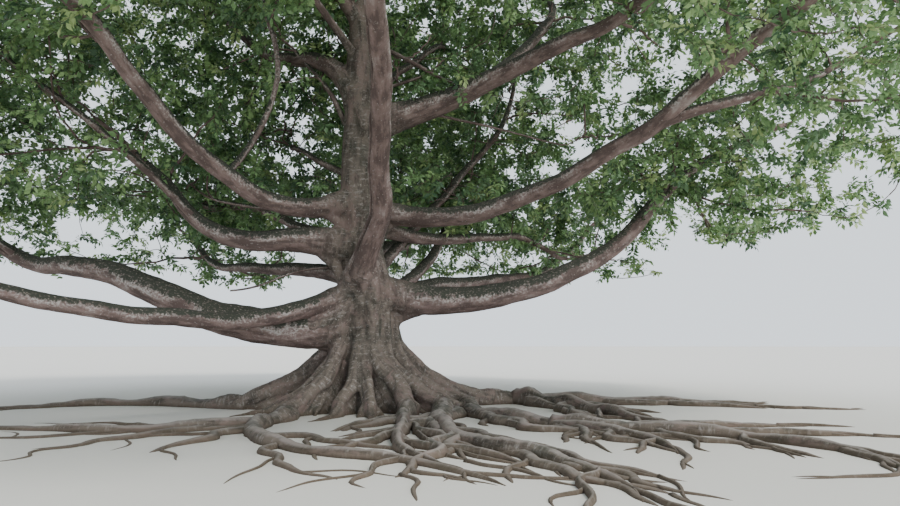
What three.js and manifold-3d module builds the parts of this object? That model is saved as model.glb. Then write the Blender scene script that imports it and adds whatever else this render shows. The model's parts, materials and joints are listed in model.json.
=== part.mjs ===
// A banyan: fluted trunk on spreading surface roots, long low boughs and an umbrella crown.
// Millimetres, +Z up, ground at z = 0, origin at the middle of the trunk's flat cut.
// Headings are degrees anticlockwise seen from above, 0 towards +X; climbs are degrees above level.
import * as THREE from "three";
import { mergeVertices } from "three/addons/utils/BufferGeometryUtils.js";
import Module from "manifold-3d";

const wasm = await Module();
wasm.setup();

const UP = new THREE.Vector3(0, 0, 1);
const GOLDEN_TURN = 137.5;

// Clear width between two pieces that touch, and the smallest edge that a cut may leave.
const CLEAR = 0.3;
const SLIVER = 0.05;

// The trunk's core leans a little to the left above the boughs' first fork.
const TRUNK_HEIGHT = 12600;
const TRUNK_LEAN = 270;
const LEAN_FROM = 2500;
const LEAN_TO = 5000;
const TRUNK_SIDES = 11;
const TRUNK_GIRTH = [
  { height: 0, radius: 1150 },
  { height: 500, radius: 920 },
  { height: 1100, radius: 800 },
  { height: 1900, radius: 740 },
  { height: 2700, radius: 700 },
  { height: 3300, radius: 580 },
  { height: 4200, radius: 450 },
  { height: 5600, radius: 400 },
  { height: 7200, radius: 350 },
  { height: 9000, radius: 290 },
  { height: 10800, radius: 200 },
  { height: TRUNK_HEIGHT, radius: 110 },
];

// Below ground depth of a piece before the level cut takes it off.
const BURIED = 200;

// Buttress flutes: crest is their height at the waist, spread how far it takes to fall to a third.
const WAIST = 750;
const FLUTE_INSIDE = 250;
const TOE_HEIGHT = 120;
const TOE_SHARPNESS = 5;
const TOE_NARROWING = 0.3;
const FLUTE_STEPS = 6;
const FLUTE_CROWDING = 1.15;
const FLUTES = [
  { heading: 172, reach: 3000, crest: 1500, spread: 1400, width: 300 },
  { heading: 203, reach: 2300, crest: 1450, spread: 1000, width: 240 },
  { heading: 226, reach: 2500, crest: 1600, spread: 900, width: 220 },
  { heading: 252, reach: 2050, crest: 1300, spread: 800, width: 240 },
  { heading: 274, reach: 2150, crest: 1500, spread: 750, width: 200 },
  { heading: 298, reach: 2200, crest: 1400, spread: 850, width: 220 },
  { heading: 322, reach: 2500, crest: 1250, spread: 950, width: 250 },
  { heading: 345, reach: 2700, crest: 1350, spread: 1050, width: 260 },
  { heading: 18, reach: 3200, crest: 1650, spread: 1500, width: 280 },
  { heading: 58, reach: 2600, crest: 1500, spread: 1100, width: 280 },
  { heading: 95, reach: 2800, crest: 1600, spread: 1200, width: 300 },
  { heading: 135, reach: 2700, crest: 1500, spread: 1200, width: 300 },
];

// Ribs stand out of the trunk between the flutes and the lowest boughs.
const RIB_STEPS = 4;
const RIB_SIDES = 5;
const RIBS = [
  { heading: 214, top: 2900, foot: 700, radius: 150 },
  { heading: 244, top: 3300, foot: 700, radius: 190 },
  { heading: 272, top: 3500, foot: 600, radius: 180 },
  { heading: 304, top: 3200, foot: 700, radius: 200 },
  { heading: 338, top: 2500, foot: 800, radius: 180 },
  { heading: 36, top: 2600, foot: 800, radius: 200 },
  { heading: 112, top: 2700, foot: 800, radius: 200 },
];

// Surface roots creep over the ground from a flute's toe, or from another root.
const ROOT_STEPS = 9;
const ROOT_TIP = 0.3;
const ROOT_SWELL = 0.22;
const ROOTS = [
  { name: "root_left", flute: 172, length: 6800, width: 300, height: 290, heading: [155, 150, 195, 225] },
  { name: "root_left_front", flute: 226, length: 7300, width: 230, height: 230,
    heading: [280, 205, 160, 170] },
  { name: "root_front_left", root: "root_left_front", at: 0.2, length: 7600, width: 200, height: 220,
    heading: [-100, -65, -35, -70] },
  { name: "root_front", flute: 298, length: 6900, width: 180, height: 330, heading: [260, 265, 270, 300] },
  { name: "root_front_right", flute: 322, length: 9200, width: 250, height: 330,
    heading: [255, 270, 300, 260] },
  { name: "root_right", flute: 345, length: 7400, width: 260, height: 310, heading: [260, 300, 305, 245] },
  { name: "root_right_long", root: "root_right", at: 0.5, length: 6900, width: 190, height: 240,
    heading: [-30, -35, -75, -125] },
  { name: "root_right_side", flute: 18, length: 7600, width: 280, height: 340,
    heading: [25, -15, -20, -40] },
  { name: "root_right_arch", root: "root_right_side", at: 0.15, length: 5900, width: 240, height: 400,
    heading: [-60, -70, -80, -70] },
  { name: "root_back", flute: 95, length: 5400, width: 250, height: 260, heading: [85, 115, 120, 95] },
];

// Boughs: at is the height on the trunk, or the share of the length of the bough it forks from.
// Heading and climb are given at the root, at each third and at the tip; girth is the radius.
const BOUGH_STEP = 1400;
const COLLAR = 0.6;
const COLLAR_LENGTH = 3.5;
const HIDDEN_ROOT = 0.9;
const THICK_BOUGH = 280;
const BOUGHS = [
  { name: "low_right", at: 2800, length: 11500, girth: [340, 110],
    heading: [-15, 0, 20, 15], climb: [-15, 15, 45, 25] },
  { name: "low_left_back", at: 2200, length: 12100, girth: [430, 120],
    heading: [200, 175, 145, 155], climb: [-20, 25, 5, 40] },
  { name: "low_left_front", at: 2900, length: 12600, girth: [230, 85],
    heading: [210, 225, 210, 220], climb: [-25, 0, 15, 25] },
  { name: "mid_left", at: 3800, length: 6600, girth: [310, 90],
    heading: [210, 185, 155, 150], climb: [10, -5, 45, 40] },
  { name: "high_left", at: 5100, length: 10000, girth: [230, 110],
    heading: [210, 225, 250, 230], climb: [-30, 25, 30, 30] },
  { name: "front", at: 2400, length: 11900, girth: [270, 130],
    heading: [270, 275, 265, 290], climb: [55, 35, 10, 40] },
  { name: "right_upper", at: 6900, length: 8900, girth: [330, 95],
    heading: [5, -35, -45, -60], climb: [15, 15, 10, 25] },
  { name: "right_upper_back", from: "right_upper", at: 0.35, length: 6500, girth: [180, 80],
    heading: [30, 35, 60, 105], climb: [35, 45, 45, 30] },
  { name: "right_mid", at: 4900, length: 12000, girth: [250, 110],
    heading: [345, 325, 295, 280], climb: [-20, 15, 20, 10] },
  { name: "right_mid_fork", from: "right_mid", at: 0.6, length: 5000, girth: [120, 70],
    heading: [-75, -5, 25, 25], climb: [10, 15, 20, 25] },
  { name: "right_behind", at: 4500, length: 7600, girth: [190, 70],
    heading: [25, 40, 35, 35], climb: [-15, 5, 10, -25] },
  { name: "far_right", at: 2400, length: 12000, girth: [240, 90],
    heading: [45, 50, 45, 30], climb: [20, 5, 10, 45] },
  { name: "back_right_low", at: 2500, length: 7100, girth: [180, 80],
    heading: [35, 60, 70, 70], climb: [20, 30, 35, 30] },
  { name: "back_right", at: 2900, length: 10900, girth: [150, 65],
    heading: [55, 45, 40, 70], climb: [40, 40, 45, 65] },
  { name: "back", at: 3300, length: 9900, girth: [220, 90],
    heading: [80, 75, 80, 80], climb: [25, 10, 10, 25] },
  { name: "back_left_low", at: 3000, length: 10200, girth: [220, 90],
    heading: [125, 130, 125, 120], climb: [15, 5, 5, 30] },
  { name: "back_left", at: 4200, length: 8200, girth: [150, 70],
    heading: [145, 130, 130, 135], climb: [0, 25, 5, 20] },
  { name: "high_back_left", at: 7500, length: 6900, girth: [240, 80],
    heading: [160, 140, 140, 150], climb: [70, 10, 40, 40] },
  { name: "high_back_right", at: 6900, length: 7600, girth: [120, 60],
    heading: [50, 50, 60, 95], climb: [60, 40, 30, 15] },
  { name: "high_left_riser", from: "high_left", at: 0.35, length: 6100, girth: [75, 50],
    heading: [70, 35, 0, -30], climb: [40, 70, 105, 115] },
  { name: "front_riser", from: "front", at: 0.7, length: 4700, girth: [130, 65],
    heading: [-15, -15, -5, 10], climb: [70, 70, 70, 75] },
  { name: "top_left", at: 9600, length: 5300, girth: [150, 65],
    heading: [215, 215, 220, 220], climb: [40, 40, 45, 45] },
  { name: "top_right", at: 9900, length: 5000, girth: [140, 65],
    heading: [340, 340, 340, 345], climb: [40, 45, 40, 45] },
  { name: "top_back", at: 9200, length: 5800, girth: [140, 65],
    heading: [95, 100, 110, 115], climb: [45, 40, 35, 35] },
];

// The crown's outline: a dome above its widest level and a shallower bowl below it.
const CROWN_RADIUS = 14800;
const CROWN_LEVEL = 6500;
const CROWN_RISE = 11500;
const CROWN_DROP = 4600;

// Masses of foliage, one at each bough's tip: shift leads from the tip to the middle of the mass,
// reach is its radius and floor its lowest level.
const MASSES = [
  { bough: "low_right", shift: 2100, heading: 5, climb: 25, reach: 4700, floor: 4200 },
  { bough: "low_left_back", shift: 2000, heading: 165, climb: 40, reach: 4700, floor: 3400 },
  { bough: "low_left_front", shift: 1900, heading: 215, climb: 45, reach: 4700, floor: 2900 },
  { bough: "mid_left", shift: 1500, heading: 165, climb: 40, reach: 3200, floor: 4600 },
  { bough: "high_left", shift: 2100, heading: 230, climb: 30, reach: 4700, floor: 6400 },
  { bough: "front", shift: 2100, heading: 272, climb: 15, reach: 4700, floor: 6000 },
  { bough: "right_upper", shift: 2000, heading: 330, climb: 45, reach: 4200, floor: 7600 },
  { bough: "right_upper_back", shift: 1800, heading: 15, climb: 35, reach: 4300, floor: 9500 },
  { bough: "right_mid", shift: 2100, heading: 308, climb: 25, reach: 4700, floor: 5400 },
  { bough: "right_mid_fork", shift: 2000, heading: 338, climb: 30, reach: 4500, floor: 5400 },
  { bough: "right_behind", shift: 1300, heading: 30, climb: 5, reach: 2600, floor: 3500 },
  { bough: "far_right", shift: 2100, heading: 40, climb: 30, reach: 4700, floor: 3800 },
  { bough: "back_right_low", shift: 1400, heading: 65, climb: 45, reach: 3200, floor: 5200 },
  { bough: "back_right", shift: 1800, heading: 45, climb: 35, reach: 4300, floor: 8200 },
  { bough: "back", shift: 2000, heading: 82, climb: 30, reach: 4700, floor: 4000 },
  { bough: "back_left_low", shift: 2000, heading: 125, climb: 25, reach: 4700, floor: 3400 },
  { bough: "back_left", shift: 2000, heading: 140, climb: 55, reach: 4000, floor: 5600 },
  { bough: "high_back_left", shift: 1800, heading: 150, climb: 35, reach: 4300, floor: 8800 },
  { bough: "high_back_right", shift: 1700, heading: 90, climb: 35, reach: 3900, floor: 8400 },
  { bough: "high_left_riser", shift: 1200, heading: 190, climb: 25, reach: 3000, floor: 9400 },
  { bough: "front_riser", shift: 1700, heading: 290, climb: 45, reach: 4300, floor: 9400 },
  { bough: "top_left", shift: 1600, heading: 215, climb: 35, reach: 4200, floor: 11200 },
  { bough: "top_right", shift: 1600, heading: 345, climb: 35, reach: 4200, floor: 11200 },
  { bough: "top_back", shift: 1600, heading: 105, climb: 35, reach: 4200, floor: 11000 },
  { bough: "trunk", shift: 2200, heading: 0, climb: 90, reach: 3600, floor: 12600 },
];

// Twigs and leaves of one mass. Each leaf stands for a spray.
const SEED = 41;
const SPACE_MARGIN = 60;
const LIMB_MARGIN = 40;
// One twig for each of these lengths of a mass's reach.
const TWIG_SPACING = 900;
const TARGET_TRIES = 60;
const STEM_STEPS = 3;
const STEM_SIDES = 4;
const STEM_STRAIGHT = 350;
const TWIG_SIDES = 3;
const TWIG_END = 26;
const LEAF_INWARD = 1300;
const SHORTEST_TWIG = 0.4;
const LEAF_LENGTH = 2300;
const LEAF_WIDTH = 1300;
const LEAF_THICKNESS = 80;
const LEAF_BELLY = 0.45;
const LEAF_SUNK = 70;
const LEAF_GAP = 5;
const FOLIAGE_SLIVER = 8;
const LEAF_SCALES = [1, 0.8, 0.62];
const LEAF_ROLL = 50;

// Where leaves stand on a twig, how far they turn from it, and how much they dip; the eases are
// the shares of that turn and dip that are tried in order until a leaf fits.
const LEAF_SPOTS = [
  { share: 1, turn: 0, dip: -0.2 },
  { share: 0.85, turn: 62, dip: -0.35 },
  { share: 0.65, turn: -62, dip: -0.1 },
];
const LEAF_EASES = [1, 0.6, -0.8];

// Bark and leaf colours.
const BARK = { color: 0x8c7b68, roughness: 0.92 };
const ROOT_BARK = { color: 0x857563, roughness: 0.95 };
const FOLIAGE = { color: 0x4f7038, roughness: 0.6 };

function radians(degrees) {
  return THREE.MathUtils.degToRad(degrees);
}

// Unit vector of a heading and a climb, in degrees.
function direction(heading, climb) {
  const level = Math.cos(radians(climb));
  return new THREE.Vector3(
    level * Math.cos(radians(heading)),
    level * Math.sin(radians(heading)),
    Math.sin(radians(climb)),
  );
}

// Value at share t of a list of evenly spaced values.
function between(values, t) {
  const x = THREE.MathUtils.clamp(t, 0, 1) * (values.length - 1);
  const k = Math.min(Math.floor(x), values.length - 2);
  return THREE.MathUtils.lerp(values[k], values[k + 1], x - k);
}

// Repeatable random numbers from 0 to 1.
function randomFrom(seed) {
  let state = seed;
  return () => {
    state = (state + 0x6d2b79f5) | 0;
    let mixed = Math.imul(state ^ (state >>> 15), 1 | state);
    mixed = (mixed + Math.imul(mixed ^ (mixed >>> 7), 61 | mixed)) ^ mixed;
    return ((mixed ^ (mixed >>> 14)) >>> 0) / 4294967296;
  };
}

// A closed three.js geometry as a solid.
function solidOf(geometry) {
  geometry.deleteAttribute("normal");
  geometry.deleteAttribute("uv");
  const merged = mergeVertices(geometry);
  return new wasm.Manifold(
    new wasm.Mesh({
      numProp: 3,
      vertProperties: merged.attributes.position.array,
      triVerts: new Uint32Array(merged.index.array),
    }),
  );
}

// The largest piece of a solid that a cut may have parted.
function mainPiece(solid) {
  const pieces = solid.decompose();
  return pieces.reduce((best, piece) => (piece.volume() > best.volume() ? piece : best));
}

// A round rod bent along stations of { place, radius }, with flat ends.
function sweptRod(stations, sides) {
  const last = stations.length - 1;
  const rod = new THREE.CylinderGeometry(1, 1, 1, sides, last);
  const frames = framesAlong(stations.map((station) => station.place));
  const spots = rod.attributes.position;
  for (let i = 0; i < spots.count; i++) {
    const k = Math.round((spots.getY(i) + 0.5) * last);
    const { side, over } = frames[k];
    const spot = stations[k].place
      .clone()
      .addScaledVector(side, spots.getX(i) * stations[k].radius)
      .addScaledVector(over, spots.getZ(i) * stations[k].radius);
    spots.setXYZ(i, spot.x, spot.y, spot.z);
  }
  return solidOf(rod);
}

// Side vectors along a path that never twist about it.
function framesAlong(places) {
  const last = places.length - 1;
  let side = null;
  return places.map((place, k) => {
    const ahead = places[Math.min(k + 1, last)].clone();
    const along = ahead.sub(places[Math.max(k - 1, 0)]).normalize();
    if (!side) {
      side = new THREE.Vector3().crossVectors(along, Math.abs(along.z) < 0.9 ? UP : direction(0, 0));
    }
    side = side.clone().addScaledVector(along, -side.dot(along)).normalize();
    return { side, over: new THREE.Vector3().crossVectors(side, along) };
  });
}

// Arched section of a flute or a surface root, one unit high and two wide at its foot.
function archShape() {
  const arch = new THREE.Shape();
  arch.moveTo(-1, 0);
  arch.lineTo(1, 0);
  arch.lineTo(0.75, 0.55);
  arch.lineTo(0.35, 0.94);
  arch.lineTo(-0.35, 0.94);
  arch.lineTo(-0.75, 0.55);
  arch.closePath();
  return arch;
}

// A ridge on the ground along stations of { place, width, height }.
function sweptRidge(stations) {
  const last = stations.length - 1;
  const ridge = new THREE.ExtrudeGeometry(archShape(), { steps: last, depth: last, bevelEnabled: false });
  const frames = framesAlong(stations.map((station) => station.place));
  const spots = ridge.attributes.position;
  for (let i = 0; i < spots.count; i++) {
    const k = Math.round(spots.getZ(i));
    const { place, width, height } = stations[k];
    const spot = place.clone().addScaledVector(frames[k].side, -spots.getX(i) * width);
    spots.setXYZ(i, spot.x, spot.y, spots.getY(i) * (height + BURIED) - BURIED);
  }
  return solidOf(ridge);
}

// Everything below ground level is cut off flat.
function cutAtGround(solid) {
  return solid.trimByPlane([0, 0, 1], 0);
}

// Middle of the trunk at a height.
function trunkPlace(height) {
  const lean = THREE.MathUtils.smoothstep(height, LEAN_FROM, LEAN_TO) * TRUNK_LEAN;
  return new THREE.Vector3(-lean, 0, height);
}

// Radius of the trunk's core at a height.
function trunkRadius(height) {
  const above = TRUNK_GIRTH.findIndex((ring) => ring.height > height);
  if (above < 0) return TRUNK_GIRTH.at(-1).radius;
  const low = TRUNK_GIRTH[above - 1];
  const high = TRUNK_GIRTH[above];
  const share = (height - low.height) / (high.height - low.height);
  return THREE.MathUtils.lerp(low.radius, high.radius, share);
}

function trunkCore(grow) {
  const rings = [{ height: -BURIED, radius: TRUNK_GIRTH[0].radius }, ...TRUNK_GIRTH];
  const stations = rings.map(({ height, radius }) => ({
    place: trunkPlace(height),
    radius: radius + grow,
  }));
  stations.at(-1).place.z += grow;
  return sweptRod(stations, TRUNK_SIDES);
}

// Height of a flute's back, which falls away from the trunk and ends at its toe.
function fluteHeight(flute, distance) {
  const fall = Math.exp(-(distance - WAIST) / flute.spread);
  return TOE_HEIGHT + flute.crest * fall * (1 - (distance / flute.reach) ** TOE_SHARPNESS);
}

function fluteRidge(flute, grow) {
  const stations = [];
  for (let k = 0; k <= FLUTE_STEPS; k++) {
    const share = (k / FLUTE_STEPS) ** FLUTE_CROWDING;
    const distance = THREE.MathUtils.lerp(FLUTE_INSIDE, flute.reach, share);
    stations.push({
      place: direction(flute.heading, 0).multiplyScalar(k === FLUTE_STEPS ? distance + grow : distance),
      width: flute.width * (1 - TOE_NARROWING * share) + grow,
      height: fluteHeight(flute, distance) + grow,
    });
  }
  return sweptRidge(stations);
}

function trunkRib(rib, grow) {
  const stations = [];
  for (let k = 0; k <= RIB_STEPS; k++) {
    const height = THREE.MathUtils.lerp(rib.top, rib.foot, k / RIB_STEPS);
    const out = trunkRadius(height) - rib.radius * (k === 0 ? 1.1 : 0.35);
    stations.push({
      place: trunkPlace(height).addScaledVector(direction(rib.heading, 0), out),
      radius: rib.radius + grow,
    });
  }
  return sweptRod(stations, RIB_SIDES);
}

function trunkSolid(grow) {
  const solids = [trunkCore(grow)];
  FLUTES.forEach((flute) => solids.push(fluteRidge(flute, grow)));
  RIBS.forEach((rib) => solids.push(trunkRib(rib, grow)));
  return cutAtGround(wasm.Manifold.union(solids));
}

// Where a surface root starts: just inside its flute's toe, or on another root.
function rootStart(root) {
  if (root.root) {
    const parent = ROOTS.find((other) => other.name === root.root);
    const path = rootPath(parent);
    return path[Math.round(root.at * (path.length - 1))].clone();
  }
  const flute = FLUTES.find((other) => other.heading === root.flute);
  return direction(flute.heading, 0).multiplyScalar(flute.reach - root.width);
}

function rootPath(root) {
  const step = root.length / ROOT_STEPS;
  const path = [rootStart(root)];
  for (let k = 0; k < ROOT_STEPS; k++) {
    const heading = between(root.heading, (k + 0.5) / ROOT_STEPS);
    path.push(path[k].clone().addScaledVector(direction(heading, 0), step));
  }
  return path;
}

function rootSolid(root, grow) {
  const toe = Math.min(1, (TOE_HEIGHT + 60) / root.height);
  const stations = rootPath(root).map((place, k) => {
    const t = k / ROOT_STEPS;
    const taper = THREE.MathUtils.lerp(1, ROOT_TIP, t);
    const swell = 1 + ROOT_SWELL * Math.sin(radians(k * GOLDEN_TURN));
    const rise = k === 0 && !root.root ? toe : 1;
    return { place, width: root.width * taper + grow, height: root.height * taper * swell * rise + grow };
  });
  return cutAtGround(sweptRidge(stations));
}

// Middle line of a bough: its heading and climb change smoothly from root to tip.
function boughPath(bough) {
  const steps = Math.ceil(bough.length / BOUGH_STEP);
  const fine = 6;
  const path = [boughStart(bough)];
  const spot = path[0].clone();
  for (let k = 0; k < steps * fine; k++) {
    const t = (k + 0.5) / (steps * fine);
    const ahead = direction(between(bough.heading, t), between(bough.climb, t));
    spot.addScaledVector(ahead, bough.length / (steps * fine));
    if (k % fine === fine - 1) path.push(spot.clone());
  }
  return path;
}

function boughStart(bough) {
  if (!bough.from) return trunkPlace(bough.at);
  const path = boughPath(BOUGHS.find((other) => other.name === bough.from));
  const x = bough.at * (path.length - 1);
  const k = Math.floor(x);
  return path[k].clone().lerp(path[k + 1], x - k);
}

// A bough tapers evenly, with a collar outside its parent and a root that the parent hides.
function boughRadius(bough, t) {
  const [root, tip] = bough.girth;
  const collar = COLLAR * Math.exp((-t * bough.length) / (COLLAR_LENGTH * root));
  const radius = THREE.MathUtils.lerp(root, tip, t) * (1 + (bough.from ? collar / 2 : collar));
  return t === 0 ? Math.min(radius, HIDDEN_ROOT * parentRadius(bough)) : radius;
}

function parentRadius(bough) {
  if (!bough.from) return trunkRadius(bough.at);
  const parent = BOUGHS.find((other) => other.name === bough.from);
  return THREE.MathUtils.lerp(...parent.girth, bough.at);
}

function boughSolid(bough, grow) {
  const path = boughPath(bough);
  const last = path.length - 1;
  const stations = path.map((place, k) => ({ place, radius: boughRadius(bough, k / last) + grow }));
  return sweptRod(stations, bough.girth[0] > THICK_BOUGH ? 8 : 6);
}

// Cuts each piece clear of the trunk and of the pieces made before it.
function fitted(rows, makeSolid, fixed) {
  const taken = [...fixed];
  return rows.map((row) => {
    const solid = makeSolid(row, 0);
    const cutters = taken.filter((other) => boxesMeet(solid, other));
    const cut = cutters.length ? solid.subtract(wasm.Manifold.union(cutters)) : solid;
    taken.push(makeSolid(row, CLEAR));
    return mainPiece(cut.simplify(SLIVER));
  });
}

function boxesMeet(a, b, distance = 0) {
  const one = a.boundingBox();
  const two = b.boundingBox();
  return [0, 1, 2].every(
    (i) => one.min[i] - distance <= two.max[i] && two.min[i] - distance <= one.max[i],
  );
}

// Tip of a bough, or of the trunk, with the direction it points and its radius.
function tipOf(name) {
  if (name === "trunk") {
    return { place: trunkPlace(TRUNK_HEIGHT), along: UP.clone(), radius: TRUNK_GIRTH.at(-1).radius };
  }
  const bough = BOUGHS.find((other) => other.name === name);
  const path = boughPath(bough);
  const along = path.at(-1).clone().sub(path.at(-2)).normalize();
  return { place: path.at(-1), along, radius: boughRadius(bough, 1) };
}

function massMiddle(mass) {
  const ahead = direction(mass.heading, mass.climb);
  return tipOf(mass.bough).place.addScaledVector(ahead, mass.shift);
}

// A mass's own space: nearer its middle than any other, inside the crown, above its floor.
function spaceOf(mass, middles) {
  const own = massMiddle(mass);
  const walls = middles
    .filter((other) => other.distanceTo(own) > 1)
    .map((other) => {
      const normal = other.clone().sub(own).normalize();
      return { normal, limit: normal.dot(other.clone().add(own).multiplyScalar(0.5)) - SPACE_MARGIN };
    });
  const inside = (spot) =>
    spot.z > mass.floor && insideCrown(spot) && walls.every((wall) => wall.normal.dot(spot) < wall.limit);
  return { own, inside };
}

function insideCrown(spot) {
  const depth = spot.z > CROWN_LEVEL ? CROWN_RISE : CROWN_DROP;
  const rise = (spot.z - CROWN_LEVEL) / depth;
  return (spot.x ** 2 + spot.y ** 2) / CROWN_RADIUS ** 2 + rise ** 2 < 1;
}

// Whether a solid keeps a distance from each of the others.
function clearOf(solid, others, distance) {
  return others.every((other) => !boxesMeet(solid, other, distance) ||
    solid.minGap(other, distance) >= distance);
}

// Points spread evenly through a mass's space, each as far as can be from the ones before.
function targetsIn(space, mass, random) {
  const targets = [space.own];
  for (let k = 0; k < Math.round(mass.reach / TWIG_SPACING); k++) {
    let best = null;
    let widest = 0;
    for (let n = 0; n < TARGET_TRIES; n++) {
      const ahead = direction(random() * 360, THREE.MathUtils.radToDeg(Math.asin(random() * 2 - 1)));
      const spot = space.own.clone().addScaledVector(ahead, mass.reach * Math.cbrt(random()));
      const gap = Math.min(...targets.map((target) => target.distanceTo(spot)));
      if (gap > widest && space.inside(spot)) {
        best = spot;
        widest = gap;
      }
    }
    if (best) targets.push(best);
  }
  return targets.slice(1);
}

// A flat leaf-shaped solid of eight faces from root along a heading, wide across side.
function leafSolid(root, along, side, scale) {
  const over = new THREE.Vector3().crossVectors(side, along);
  const leaf = new THREE.OctahedronGeometry(1, 0);
  const spots = leaf.attributes.position;
  for (let i = 0; i < spots.count; i++) {
    const lengthwise = spots.getY(i);
    const share = lengthwise === 0 ? LEAF_BELLY : (lengthwise + 1) / 2;
    const spot = root
      .clone()
      .addScaledVector(along, share * LEAF_LENGTH * scale)
      .addScaledVector(side, (spots.getX(i) * LEAF_WIDTH * scale) / 2)
      .addScaledVector(over, (spots.getZ(i) * LEAF_THICKNESS) / 2);
    spots.setXYZ(i, spot.x, spot.y, spot.z);
  }
  return solidOf(leaf);
}

function cornersInside(solid, space) {
  const corners = solid.getMesh().vertProperties;
  for (let i = 0; i < corners.length; i += 3) {
    if (!space.inside(new THREE.Vector3(corners[i], corners[i + 1], corners[i + 2]))) return false;
  }
  return true;
}

// The largest leaf that fits at a place on a twig, or nothing.
function leafAt(place, along, roll, sunk, space, others) {
  const level = new THREE.Vector3().crossVectors(along, UP);
  if (level.lengthSq() < 0.01) level.set(1, 0, 0);
  const side = level.normalize().applyAxisAngle(along, radians(roll));
  const root = place.clone().addScaledVector(along, -sunk);
  for (const scale of LEAF_SCALES) {
    const leaf = leafSolid(root, along, side, scale);
    if (cornersInside(leaf, space) && clearOf(leaf, others, LEAF_GAP)) return leaf;
  }
  return null;
}

// The stem leaves the bough's tip straight and then bends to the middle of the mass.
function stemPath(tip, space) {
  const start = tip.place.clone().addScaledVector(tip.along, CLEAR);
  const straight = start.clone().addScaledVector(tip.along, STEM_STRAIGHT);
  const bend = straight.clone().addScaledVector(tip.along, start.distanceTo(space.own) * 0.4);
  const curve = new THREE.QuadraticBezierCurve3(straight, bend, space.own);
  return [start, ...curve.getPoints(STEM_STEPS - 1)];
}

function stemSolid(path, tip) {
  const stations = path.map((place, k) => ({
    place,
    radius: tip.radius * THREE.MathUtils.lerp(0.9, 0.6, k / STEM_STEPS),
  }));
  return sweptRod(stations, STEM_SIDES);
}

function twigSolid(root, end, radius) {
  return sweptRod([{ place: root, radius }, { place: end, radius: TWIG_END }], TWIG_SIDES);
}

// Leaves of one twig: one at its end and some to each side of it.
function leavesOf(root, end, space, others, random) {
  const out = end.clone().sub(root).normalize();
  const leaves = [];
  for (const { share, turn, dip } of LEAF_SPOTS) {
    const place = root.clone().lerp(end, share);
    const sunk = turn === 0 ? LEAF_SUNK : 0;
    const roll = (random() - 0.5) * LEAF_ROLL;
    for (const ease of LEAF_EASES) {
      const along = out.clone().applyAxisAngle(UP, radians(turn * ease));
      along.z += dip * ease;
      const leaf = leafAt(place, along.normalize(), roll, sunk, space, [...others, ...leaves]);
      if (leaf) {
        leaves.push(leaf);
        break;
      }
    }
  }
  return leaves;
}

// One mass of foliage: a stem, twigs that grow to evenly spread points, and leaves fused on.
function massSolid(mass, index, middles, limbs) {
  const random = randomFrom(SEED + index);
  const space = spaceOf(mass, middles);
  const tip = tipOf(mass.bough);
  const stem = stemPath(tip, space);
  const solids = [stemSolid(stem, tip)];
  const knots = stem.slice(1).map((place) => ({ place, radius: tip.radius * 0.55 }));
  const leaves = [];
  const byDistance = (a, b) => a.distanceTo(tip.place) - b.distanceTo(tip.place);
  for (const target of targetsIn(space, mass, random).sort(byDistance)) {
    const from = knots.reduce((best, knot) =>
      knot.place.distanceTo(target) < best.place.distanceTo(target) ? knot : best,
    );
    const radius = Math.max(from.radius * 0.8, TWIG_END * 1.2);
    const run = Math.max(1 - LEAF_INWARD / from.place.distanceTo(target), SHORTEST_TWIG);
    const end = from.place.clone().lerp(target, run);
    const twig = twigSolid(from.place, end, radius);
    if (!clearOf(twig, [...limbs, ...leaves], LIMB_MARGIN)) continue;
    const own = leavesOf(from.place, end, space, [...limbs, ...solids, ...leaves], random);
    if (!own.length) continue;
    leaves.push(...own);
    solids.push(twig);
    knots.push({ place: from.place.clone().lerp(end, 0.5), radius: radius * 0.75 });
  }
  return mainPiece(wasm.Manifold.union([...solids, ...leaves]).simplify(FOLIAGE_SLIVER));
}

function meshOf(name, solid, finish) {
  const { vertProperties, triVerts } = solid.getMesh();
  const geometry = new THREE.BufferGeometry();
  geometry.setAttribute("position", new THREE.BufferAttribute(vertProperties, 3));
  geometry.setIndex(new THREE.BufferAttribute(triVerts, 1));
  geometry.computeVertexNormals();
  const mesh = new THREE.Mesh(geometry, new THREE.MeshStandardMaterial({ metalness: 0, ...finish }));
  mesh.name = name;
  return mesh;
}

function buildBanyan() {
  const tree = new THREE.Group();
  const trunk = mainPiece(trunkSolid(0).simplify(SLIVER));
  const roots = fitted(ROOTS, rootSolid, [trunkSolid(CLEAR)]);
  const boughs = fitted(BOUGHS, boughSolid, [trunkSolid(CLEAR)]);
  const middles = MASSES.map(massMiddle);
  tree.add(meshOf("trunk", trunk, BARK));
  ROOTS.forEach((root, i) => tree.add(meshOf(root.name, roots[i], ROOT_BARK)));
  BOUGHS.forEach((bough, i) => tree.add(meshOf("bough_" + bough.name, boughs[i], BARK)));
  MASSES.forEach((mass, i) => {
    const solid = massSolid(mass, i, middles, [trunk, ...boughs]);
    tree.add(meshOf("foliage_" + mass.bough, solid, FOLIAGE));
  });
  return tree;
}

export default buildBanyan();
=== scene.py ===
"""A banyan's looks: fluted bark, surface roots and a full crown of leaves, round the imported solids.

Metres, +Z up, ground at z = 0. Headings are degrees anticlockwise from +X, climbs are degrees above level.
"""
import json
import math
import random
from collections import namedtuple

import bmesh
import bpy
import numpy as np
from mathutils import Matrix, Vector, kdtree, noise

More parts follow.
